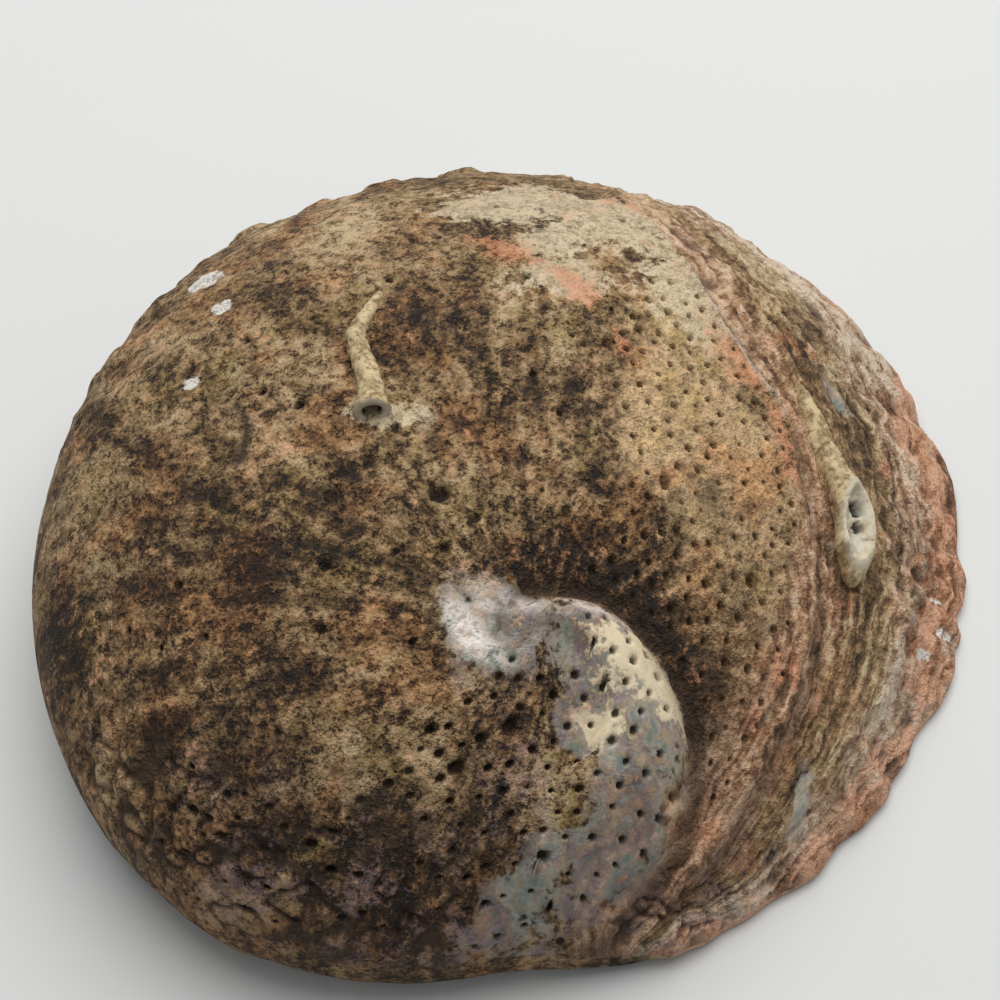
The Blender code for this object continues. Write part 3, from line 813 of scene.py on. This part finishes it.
def triangles(points):
    """Evenly joined triangles over flat points, facing up."""
    verts, _, faces, origins, _, _ = delaunay_2d_cdt([Vector(p) for p in points], [], [], 0, 1e-7)
    order = [o[0] for o in origins]
    flat = np.array([tuple(v) for v in verts])
    faces = np.array([[f[0], f[1], f[2]] for f in faces])
    a, b, c = flat[faces[:, 0]], flat[faces[:, 1]], flat[faces[:, 2]]
    area = (b[:, 0] - a[:, 0]) * (c[:, 1] - a[:, 1]) - (b[:, 1] - a[:, 1]) * (c[:, 0] - a[:, 0])
    faces[area < 0] = faces[area < 0][:, ::-1]
    return np.array(order)[faces[np.abs(area) > 1e-9]]


def under_rings(t):
    """Rings below the waist, over the rim and up the smooth inside."""
    widest, low = reach(t) + scallops(t) + lip_edge(t), around(WAIST, t)
    tuck, shelf = around(TUCK, t), around(SHELF, t)
    foot = widest - tuck
    rings = []

    def add(radius, z):
        rings.append(np.stack((radius * np.cos(t), radius * np.sin(t), z + 0 * t), -1))

    for k in range(1, WALL_RINGS):
        turn = 0.5 * math.pi * k / WALL_RINGS
        radius, z = widest - tuck * (1 - math.cos(turn)), low * (1 - math.sin(turn))
        uneven = rough(np.stack((radius * np.cos(t), radius * np.sin(t), z), -1), 7, 45, 2)
        add(radius + 0.6 * math.sin(2 * turn) * uneven, z)
    for k in range(SHELF_RINGS):
        add(foot - shelf * k / (SHELF_RINGS - 1), 0.0)
    hook = np.clip((shelf - 4) / 6, 0, 1)
    sill = (foot - shelf + (1.5 * hook - 0.9), 1.5 + 1.8 * hook)
    pocket = (foot - shelf + (8.7 * hook - 2.2), 3.4 + 2.6 * hook)
    add((foot - shelf) * 0.5 + sill[0] * 0.5 - 0.25 * (1 - hook), 0.4 * sill[1])
    add(*sill)
    for share in (0.35, 0.7, 1.0):
        add(sill[0] + (pocket[0] - sill[0]) * share, sill[1] + (pocket[1] - sill[1]) * share ** 1.6)
    for k in range(INNER_RINGS):
        share = math.sin(0.4 * math.pi * (1 - k / INNER_RINGS))
        rings.append(inside(np.full_like(t, share), t))
    return rings


def far_lip(bearing):
    """0 on most of the lip, 1 at the end where its edge is smooth."""
    return ramp(np.mod(bearing - math.radians(LIP_START), math.tau), 1.9, 2.6)


def ribs(bearing):
    """The ribs that run out to the lip's edge, fainter towards its far end."""
    uneven = 2.0 * np.sin(5 * bearing) + 1.2 * np.sin(11 * bearing + 1)
    return (1 - 0.7 * far_lip(bearing)) * np.sin(56 * bearing + uneven)


def colour_masks(x, y, points, share, bearing):
    """Where each finish lies on the shell's back."""
    suture, suture_along = across(SUTURE_LINE, x, y)
    place, _, along = lip_place(x, y, bearing)
    step_off, step_along = across(OLD_LIP_LINE, x, y)
    young_off, young_along = across(YOUNG_LIP_LINE, x, y)
    warp = rough(points, 12, 77)
    behind = 11 * ramp(step_along, 0.38, 0.75)
    sweep = np.arctan2(y - APEX[1], x - APEX[0])
    span = np.log(np.hypot(x - APEX[0], y - APEX[1]) + 3.0)
    shift_x, shift_y = x + 2.5 * rough(points, 9, 81), y + 2.5 * rough(points, 9, 82)
    apex = patches(APEX_PATCHES, shift_x, shift_y)
    lip = ramp(step_off + behind + 1.5 * warp * (behind > 2), 0.3, 2.5 + 0.5 * behind)
    lines = place + np.clip(step_off, -14, 0) / 24
    # Painted shade in the crease just outside the suture
    under_suture = ramp(suture, -1.0, 0.5) * bell(suture - 3.0, 6.0) * ends(suture_along, 0.15, 0.2)
    spire = 1 - ramp(suture_along, 0.04, 0.16) * ramp(suture, -1.5, 0.5)
    # Painted highlight along the raised edges of the old and young lips
    crest = bell(step_off + 0.8, 1.0) * bell(step_along - 0.30, 0.17)
    young_crest_highlight = 0.7 * bell(young_off + 0.6, 0.9) * ends(young_along, 0.1, 0.3)
    pearl = np.maximum(patches(PEARL_PATCHES, shift_x, shift_y) * spire, 1.1 * apex)
    low_left = ramp(share, 0.76, 0.93) * ramp(np.cos(bearing - math.radians(SHEEN_BEARING)), 0.75, 0.95)
    chips = sum(bell(np.hypot(x - a, y - b), size) for a, b, size in CHIPS)
    return {
        "pearl": np.maximum(pearl, patches(LIP_PEARL_PATCHES, x, y)),
        "glint": patches(PAINTED_GLINT_PATCHES, shift_x, shift_y),
        "pale": patches(PALE_PATCHES, shift_x, shift_y) * (1 - np.clip(1.5 * under_suture, 0, 1)),
        "faint": patches(FAINT_PATCHES, shift_x, shift_y),
        "red": patches(RED_PATCHES, shift_x, shift_y),
        "dark": patches(DARK_PATCHES, shift_x, shift_y),
        "dim": patches(DIM_AND_SHADE_PATCHES, shift_x, shift_y),
        "gutter": under_suture * (1 - ramp(apex, 0.2, 0.5)),
        "lip": lip,
        "rim": ramp(place, 0.55, 1.0),
        "olive": bell(place - 0.36, 0.22) * lip,
        "crest": crest + young_crest_highlight,
        "chip": chips * ramp(warp, -0.9, 0.0),
        "warm": patches(WARM_PATCHES, shift_x, shift_y),
        "lines": lines + 0.02 * warp,
        "along": along,
        "sweep": sweep + 0.12 * span,
        "span": span,
        "sheen": np.maximum(low_left, 0.9 * patches(SHEEN_PATCHES, shift_x, shift_y)),
    }


def fine_relief(masks, x, y, points, share, bearing):
    """How far crust, lip layers, ribs and borings lift the surface, and where painted shade darkens its
    hollows.
    """
    suture, suture_along = across(SUTURE_LINE, x, y)
    step_off, step_along = across(OLD_LIP_LINE, x, y)
    crust = 1 - 0.9 * ramp(masks["pearl"], 0.25, 0.5)
    crust = crust * (1 - 0.5 * ramp(masks["pale"], 0.45, 0.7))
    lift = crust * (0.45 * rough(points, 8, 21) + 0.36 * rough(points, 2.8, 33, 2))
    lift = lift + 0.26 * crust * (ramp(rough(points, 13, 41), -0.05, 0.02) - 0.5)
    crack = bell(across(smooth_line(CRACK), x, y)[0], 0.7)
    lift = lift - 0.5 * crack
    ragged, ragged_along = across(smooth_line(RAGGED_LEDGE), x, y)
    ragged = ragged + 1.2 * rough(points, 4, 97)
    lift = lift + 0.7 * ramp(ragged, -0.5, 0.5) * bell(ragged, 4) * ends(ragged_along, 0.15, 0.15)

    crinkle = 1 - ramp(np.abs(rough(points, 3.2, 59, 2)), 0.02, 0.2)
    lift = lift + 0.45 * (bell(np.hypot(x - CRINKLES[0], y - CRINKLES[1]), 10) * crinkle)
    wormy = ramp(share, 0.80, 0.92)
    wormy = wormy * ramp(np.cos(bearing - math.radians(WORMY_BEARING)), 0.7, 0.93)
    wormy = wormy * (1 - ramp(masks["pearl"], 0.15, 0.45))
    lift = lift - 0.95 * wormy * (1 - ramp(np.abs(rough(points, 4.4, 52, 2)), 0.02, 0.18))
    trails = 1 - ramp(np.abs(rough(points, 3.6, 58, 2)), 0.03, 0.15)
    lift = lift + 0.35 * (bell(np.hypot(x - TRAILS[0], y - TRAILS[1]), 9) * trails)
    for n, (px, py) in enumerate(pore_places()):
        ring = bell(np.hypot(x - px, y - py) - 3.0, 1.0)
        lift = lift + (0.7 if n < OPEN_PORES else 0.35) * ring

    lip = masks["lip"]
    stripes = np.mod(masks["lines"] * 9 + 0.35 * rough(points, 10, 62), 1.0)
    fine = np.mod(masks["lines"] * 21 + 0.4 * rough(points, 14, 64), 1.0)
    knobs = ramp(masks["lines"], 0.15, 0.7) * ribs(bearing)
    lift = lift + 0.35 * lip * (fine - 0.5) * ramp(step_along, 0.35, 0.6)
    lumps = (0.80 - 0.55 * ramp(step_along, 0.45, 0.75)) * rough(points, 5.5, 61)
    lift = lift + lip * (0.60 * (stripes ** 1.5 - 0.4) + 0.32 * knobs + lumps)

    # Painted shade: darker where the relief is low, in the crack, in the shadow under the old lip's step
    # and in the suture's crease
    step_shade = 0.45 * bell(step_off - 0.8, 1.2) * ends(step_along, 0.05, 0.05)
    suture_shade = 0.8 * bell(suture - 0.3, 1.6) * ends(suture_along, 0.1, 0.02)
    crease_shade = crack + np.maximum(step_shade, suture_shade)
    masks["low"] = np.clip(ramp(-lift, 0.15, 0.95) + crease_shade, 0, 1)
    return lift


def press_pits(masks, lift, pits_flat, flat):
    """Bores each pit into the surface and marks it."""
    pit = np.zeros(len(flat))
    for cx, cy, radius in pits_flat:
        near = np.abs(flat[:, 0] - cx) < 2 * radius
        near &= np.abs(flat[:, 1] - cy) < 2 * radius
        gap = np.hypot(flat[near, 0] - cx, flat[near, 1] - cy) / radius
        depth = 1 - ramp(gap, 0.62, 1.16)
        pit[near] = np.maximum(pit[near], depth)
        lift[near] = lift[near] * (1 - depth) - 1.5 * radius * depth
    masks["pit"] = pit


def lip_edge(bearing):
    """How far the dressed edge of the lip stands from the plain one, in millimetres."""
    uneven = rough(np.stack((90 * np.cos(bearing), 90 * np.sin(bearing), 0 * bearing), -1), 7, 91, 2)
    uneven = 0.7 * uneven * (1 - 0.6 * far_lip(bearing))
    return lip_share(bearing) * (0.22 * ribs(bearing) + uneven - 0.45 * scallops(bearing))


def outward(points, faces):
    """Directions straight out of a surface at its points."""
    corners = points[faces]
    facing = np.cross(corners[:, 1] - corners[:, 0], corners[:, 2] - corners[:, 0])
    found = np.zeros_like(points)
    for k in range(3):
        np.add.at(found, faces[:, k], facing)
    return found / (np.linalg.norm(found, axis=1, keepdims=True) + 1e-12)


def ring_faces(start, rings):
    """Faces from the back's edge over the rings under it, and a fan that closes the last ring."""
    faces = []
    before = range(EDGE_POINTS)
    for _ in range(rings):
        row = range(start, start + EDGE_POINTS)
        for i in range(EDGE_POINTS):
            j = (i + 1) % EDGE_POINTS
            faces.append((before[i], row[i], row[j], before[j]))
        before = row
        start += EDGE_POINTS
    for i in range(EDGE_POINTS):
        faces.append((before[i], start, before[(i + 1) % EDGE_POINTS]))
    return faces


def whole_masks(masks, points, start, t):
    """The back's masks carried down the wall, and the inner face and its muscle scar marked."""
    wall = slice(start, start + WALL_RINGS * EDGE_POINTS)
    rest = np.zeros(len(points) - start)
    full = {key: np.concatenate([values, rest]) for key, values in masks.items()}
    for key in ("dim", "dark", "sweep", "span", "lines", "along"):
        full[key][wall] = np.tile(masks[key][:EDGE_POINTS], WALL_RINGS)
    for key in ("rim", "lip"):
        full[key][wall] = np.tile(lip_share(t), WALL_RINGS)
    full["inner"] = np.zeros(len(points))
    full["inner"][wall.stop:] = 1.0
    gap = np.linalg.norm((points[:, :2] - SCAR_MIDDLE) / SCAR_SIZE, axis=1)
    full["scar"] = (1 - ramp(gap, 0.85, 1.05)) * full["inner"]
    return full


def build_shell(sizes):
    """Dresses the shell: its back, wall, foot and pearly inside as one mesh."""
    pits = scattered_pits()
    pits_flat = [(*flat_of(x, y), radius) for x, y, radius in pits]
    inner, rim = flat_points(pits)
    flat = np.concatenate([rim, inner])
    bearing = np.mod(np.arctan2(flat[:, 1], flat[:, 0]), math.tau)
    share = share_of(np.clip(np.hypot(flat[:, 0], flat[:, 1]) / FLAT_RADIUS, 0, 1), bearing)
    top = back(share, bearing)
    faces = triangles(flat)
    x, y = top[:, 0], top[:, 1]
    masks = colour_masks(x, y, top, share, bearing)
    lift = fine_relief(masks, x, y, top, share, bearing)
    press_pits(masks, lift, pits_flat, flat)
    lift *= np.clip((1 - share) / 0.02, 0, 1)
    out = lip_edge(bearing) * share ** 8
    top[:, 0] += out * np.cos(bearing)
    top[:, 1] += out * np.sin(bearing)
    top = top + outward(top, faces) * lift[:, None]

    t = np.arange(EDGE_POINTS) * math.tau / EDGE_POINTS
    rings = under_rings(t)
    faces = [tuple(face) for face in faces.tolist()] + ring_faces(len(top), len(rings))
    points = np.concatenate([top, *rings, np.array([[0.0, 0.0, HEIGHT - WALL]])])
    masks = whole_masks(masks, points, len(top), t)
    points[:, 2] += 0.45 * masks["scar"] * rough(points, 5, 95)
    shell = mesh_object("shell_skin", placed(points), faces, shell_material(sizes), masks)
    cut_pores(shell)
    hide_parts("shell")
    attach(shell, "root")


def cut_pores(shell):
    """Bores the open pores right through the wall."""
    places = pore_places()
    points, faces = [], []
    for n in range(OPEN_PORES):
        mouth, out = mouth_at(*places[n])
        along = np.array((*np.subtract(places[n + 1], places[n]), 0.0))
        side = along - out * np.dot(along, out)
        side /= np.linalg.norm(side)
        third = np.cross(out, side)
        turn = np.arange(PORE_TURNS) * math.tau / PORE_TURNS
        first = len(points)
        for depth, size in PORE_BORE:
            for a in turn:
                points.append(mouth + out * depth + side * PORE_SIZE[0] * size * math.cos(a)
                              + third * PORE_SIZE[1] * size * math.sin(a))
        for a in range(first, len(points) - PORE_TURNS, PORE_TURNS):
            for i in range(PORE_TURNS):
                j = (i + 1) % PORE_TURNS
                faces.append((a + i, a + j, a + PORE_TURNS + j, a + PORE_TURNS + i))
        faces.append(tuple(reversed(range(first, first + PORE_TURNS))))
        faces.append(tuple(range(len(points) - PORE_TURNS, len(points))))
    cutter = mesh_object("pore_cutter", placed(points), faces, shell.data.materials[0])
    modifier = shell.modifiers.new("pores", "BOOLEAN")
    modifier.operation = "DIFFERENCE"
    modifier.object = cutter
    evaluated = shell.evaluated_get(bpy.context.evaluated_depsgraph_get())
    mesh = bpy.data.meshes.new_from_object(evaluated)
    shell.modifiers.clear()
    shell.data = mesh
    bpy.data.objects.remove(cutter)


def tube_points(path, radii, lift):
    """Centre line, frames and radii of a tube that lies along the shell's back, in millimetres."""
    line = smooth_line(path, TUBE_STEPS)
    centres, outs = [], []
    shares = np.linspace(0, len(radii) - 1, len(line))
    radius = np.interp(shares, range(len(radii)), radii)
    for (x, y), r, height in zip(line, radius, np.linspace(lift - 0.45, lift, len(line))):
        mouth, out = mouth_at(x, y)
        centres.append(mouth + out * r * height)
        outs.append(out)
    centres = np.array(centres)
    ahead = np.gradient(centres, axis=0)
    ahead /= np.linalg.norm(ahead, axis=1, keepdims=True)
    outs = np.array(outs)
    outs -= ahead * (outs * ahead).sum(1)[:, None]
    outs /= np.linalg.norm(outs, axis=1, keepdims=True)
    sides = np.cross(ahead, outs)
    return centres, ahead, outs, sides, radius


def build_tube(name, path, radii, lift, sizes, mouth=None):
    """A worm's lime tube with growth rings; without a mouth's radius it ends in a dished oval."""
    centres, ahead, outs, sides, radius = tube_points(path, radii, lift)
    count = len(centres)
    dished = mouth is None
    flare = 1.0 if dished else MOUTH_FLARE
    angle = np.arange(TUBE_TURNS) * math.tau / TUBE_TURNS
    rows, throat, dish = [], [], []

    def row(centre, out, side, r, dark=0.0, pale=0.0):
        ring = centre + np.outer(np.cos(angle), out) * r + np.outer(np.sin(angle), side) * r
        rows.append(ring)
        throat.append(np.full(TUBE_TURNS, dark))
        dish.append(np.full(TUBE_TURNS, pale))

    first = centres[0] - ahead[0] * 0.9 * radius[0]
    row(first, outs[0], sides[0], 0.35 * radius[0])
    for k in range(count):
        wrinkle = 1 + (0.012 if dished else 0.04) * (math.sin(k * 1.9) + math.sin(k * 0.83 + 1))
        grow = 1 + (flare - 1) * ramp(k / (count - 1), 0.88, 1.0)
        row(centres[k], outs[k], sides[k], radius[k] * wrinkle * grow)
    end, way = centres[-1], ahead[-1]
    if dished:
        row(end + way * 0.9 * radius[-1], outs[-1], sides[-1], 0.4 * radius[-1])
    else:
        row(end + way * 0.35, outs[-1], sides[-1], radius[-1] * flare * 0.93, pale=0.8)
        row(end + way * 0.25, outs[-1], sides[-1], mouth * 1.12, pale=0.8)
        # Painted shade marked down the open mouth
        for depth, dark in ((0.3, 0.3), (1.2, 1.0), (3.2, 1.0)):
            row(end - way * depth, outs[-1], sides[-1], mouth, dark)
    points = np.concatenate(rows)
    faces = []
    for k in range(len(rows) - 1):
        for i in range(TUBE_TURNS):
            j = (i + 1) % TUBE_TURNS
            a, b = k * TUBE_TURNS, (k + 1) * TUBE_TURNS
            faces.append((a + i, b + i, b + j, a + j))
    faces.append(tuple(range(TUBE_TURNS)))
    faces.append(tuple(reversed(range(len(points) - TUBE_TURNS, len(points)))))
    along = np.repeat(np.linspace(0, 1, len(rows)), TUBE_TURNS)
    lumps = (0.42 * (1 - ramp(along, 0.45, 0.62)) + 0.06 if dished else 0.30 + 0 * along)[:, None]
    points = points + lumps * np.stack([rough(points, 1.7, s, 2) for s in (5, 6, 7)], -1)
    throat = np.concatenate(throat)
    dish = np.concatenate(dish)
    if dished:
        points, dish, throat = press_dish(points, throat)
    obj = mesh_object(name + "_grown", placed(points), faces, lime_material(name + " lime", sizes),
                      {"throat": throat, "dish": dish})
    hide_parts(name)
    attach(obj, "root")


def press_dish(points, throat):
    """Presses the oval opening into the fat end of the large tube, with two holes in it painted dark as
    shade.
    """
    mouth, out = mouth_at(*DISH_MIDDLE)
    along = np.array((*np.subtract(SNAIL_PATH[-2], SNAIL_PATH[-4]), 0.0))
    along -= out * np.dot(along, out)
    along /= np.linalg.norm(along)
    side = np.cross(out, along)
    rel = points - mouth
    a, b, c = rel @ along, rel @ side, rel @ out
    gap = np.hypot(a / DISH_SIZE[0], b / DISH_SIZE[1])
    upper = ramp(c, 0.8, 2.2)
    bowl = (1 - ramp(gap, 0.62, 1.0)) * upper
    lip = bell(gap - 1.02, 0.16) * upper
    points = points + np.outer(0.45 * lip - 1.9 * bowl, out)
    for place, size in DISH_HOLES:
        hole = 1 - ramp(np.hypot((a - place) / 1.5, b - 0.2), 0.7 * size, size)
        hole = hole * upper
        throat = np.maximum(throat, hole)
        points = points - np.outer(1.2 * hole, out)
    dish = np.maximum(bowl, 0.8 * lip) * (1 - 0.6 * bell(a - 0.5, 1.6) * (gap < 0.8))
    return points, dish, throat


def look_at(obj, target):
    """Turns a light or camera to face a point."""
    way = Vector(target) - obj.location
    obj.rotation_euler = way.to_track_quat("-Z", "Y").to_euler()


def add_window(place, target):
    """One large soft light."""
    light = bpy.data.lights.new("window", "AREA")
    light.shape = "DISK"
    light.size = WINDOW_SIZE
    light.energy = WINDOW_POWER
    light.color = WINDOW_COLOUR
    obj = bpy.data.objects.new("window", light)
    obj.location = place
    bpy.context.scene.collection.objects.link(obj)
    look_at(obj, target)


def build_stage(sizes):
    """A pale floor, soft light from behind on the right, and the camera."""
    bpy.ops.mesh.primitive_plane_add(size=FLOOR_SIZE, location=(0, 0, 0))
    floor = bpy.context.object
    floor.name = "floor"
    paint = Paint("pale floor")
    paint.set(Base_Color=FLOOR_GREY, Roughness=0.6)
    floor.data.materials.append(paint.material)

    azimuth, elevation = sizes.camera_azimuth, sizes.camera_elevation
    right = Vector((math.cos(azimuth), math.sin(azimuth), 0))
    ahead = Vector((-math.sin(azimuth), math.cos(azimuth), 0))
    toward = -ahead * math.cos(elevation) + Vector((0, 0, math.sin(elevation)))
    target = Vector(placed(AIM))
    camera = bpy.data.cameras.new("camera")
    camera.sensor_width = 36
    camera.angle = sizes.camera_view
    camera.clip_start = 0.01
    obj = bpy.data.objects.new("camera", camera)
    obj.location = target + toward * sizes.camera_distance
    bpy.context.scene.collection.objects.link(obj)
    look_at(obj, target)
    bpy.context.scene.camera = obj

    window = target + right * WINDOW_RIGHT + ahead * WINDOW_AHEAD + Vector((0, 0, WINDOW_UP))
    add_window(window, target)
    world = bpy.data.worlds.new("room")
    bpy.context.scene.world = world
    world.use_nodes = True
    shade = world.node_tree.nodes["Background"]
    shade.inputs["Color"].default_value = ROOM_COLOUR
    shade.inputs["Strength"].default_value = ROOM_STRENGTH
    bpy.context.scene.view_settings.view_transform = "Standard"


def colour_property(name, description, default):
    """A colour that can be changed in the panel."""
    return bpy.props.FloatVectorProperty(name=name, description=description, default=default,
                                         subtype="COLOR", size=3, min=0.0, max=1.0)


class AbaloneSizes(bpy.types.PropertyGroup):
    """Colours of the finishes and the camera's place."""
    crust_brown: colour_property("Crust brown", "Main tone of the crust", (0.145, 0.086, 0.038))
    crust_tan: colour_property("Crust tan", "Lighter tone of the crust", (0.310, 0.207, 0.105))
    crust_grey: colour_property("Crust grey", "Dry light grains of the crust", (0.500, 0.385, 0.235))
    crust_dark: colour_property("Crust dark", "Dark ground of the crust", (0.042, 0.023, 0.010))
    crust_rust: colour_property("Crust rust", "Tint of the rusty stains", (1.0, 0.68, 0.46))
    crust_olive: colour_property("Crust olive", "Tint of the olive growth", (0.80, 0.80, 0.60))
    coral_red: colour_property("Coral red", "Red crust on the dome", (0.560, 0.225, 0.115))
    chalk: colour_property("Chalk", "Bare chalky patches", (0.600, 0.500, 0.340))
    lip_pink: colour_property("Lip pink", "Tint of the shell's edge", (1.0, 0.64, 0.51))
    worm_lime: colour_property("Worm lime", "Colour of the worm tubes", (0.560, 0.440, 0.250))
    camera_azimuth: bpy.props.FloatProperty(name="Azimuth", description="Camera bearing",
                                            default=math.radians(-62.0), subtype="ANGLE")
    camera_elevation: bpy.props.FloatProperty(name="Elevation", description="Camera height over the floor",
                                              default=math.radians(50.0), subtype="ANGLE")
    camera_view: bpy.props.FloatProperty(name="View", description="Camera view angle",
                                         default=math.radians(27.5), subtype="ANGLE")
    camera_distance: bpy.props.FloatProperty(name="Distance", description="Camera distance from the shell",
                                             default=0.350, unit="LENGTH")


class ABALONE_OT_shell(bpy.types.Operator):
    """Build the shell with its crust, pits and pearl"""
    bl_idname = "abalone.shell"
    bl_label = "Shell"

    def execute(self, context):
        build_shell(context.scene.abalone_sizes)
        return {"FINISHED"}


class ABALONE_OT_tubes(bpy.types.Operator):
    """Build the two lime tubes on the shell's back"""
    bl_idname = "abalone.tubes"
    bl_label = "Worm tubes"

    def execute(self, context):
        sizes = context.scene.abalone_sizes
        build_tube("worm_tube", WORM_PATH, WORM_RADII, WORM_LIFT, sizes, WORM_MOUTH)
        build_tube("snail_tube", SNAIL_PATH, SNAIL_RADII, SNAIL_LIFT, sizes)
        return {"FINISHED"}


class ABALONE_OT_stage(bpy.types.Operator):
    """Build the floor, the lights and the camera"""
    bl_idname = "abalone.stage"
    bl_label = "Stage"

    def execute(self, context):
        build_stage(context.scene.abalone_sizes)
        return {"FINISHED"}


class ABALONE_PT_panel(bpy.types.Panel):
    bl_idname = "ABALONE_PT_panel"
    bl_label = "Abalone"
    bl_space_type = "VIEW_3D"
    bl_region_type = "UI"
    bl_category = "Abalone"

    def draw(self, context):
        for operator in (ABALONE_OT_shell, ABALONE_OT_tubes, ABALONE_OT_stage):
            self.layout.operator(operator.bl_idname)


CLASSES = (AbaloneSizes, ABALONE_OT_shell, ABALONE_OT_tubes, ABALONE_OT_stage, ABALONE_PT_panel)


def register():
    for cls in CLASSES:
        bpy.utils.register_class(cls)
    bpy.types.Scene.abalone_sizes = bpy.props.PointerProperty(type=AbaloneSizes)


def unregister():
    del bpy.types.Scene.abalone_sizes
    for cls in reversed(CLASSES):
        bpy.utils.unregister_class(cls)


def main():
    """Builds everything."""
    register()
    bpy.ops.abalone.shell()
    bpy.ops.abalone.tubes()
    bpy.ops.abalone.stage()


if __name__ == "__main__":
    main()
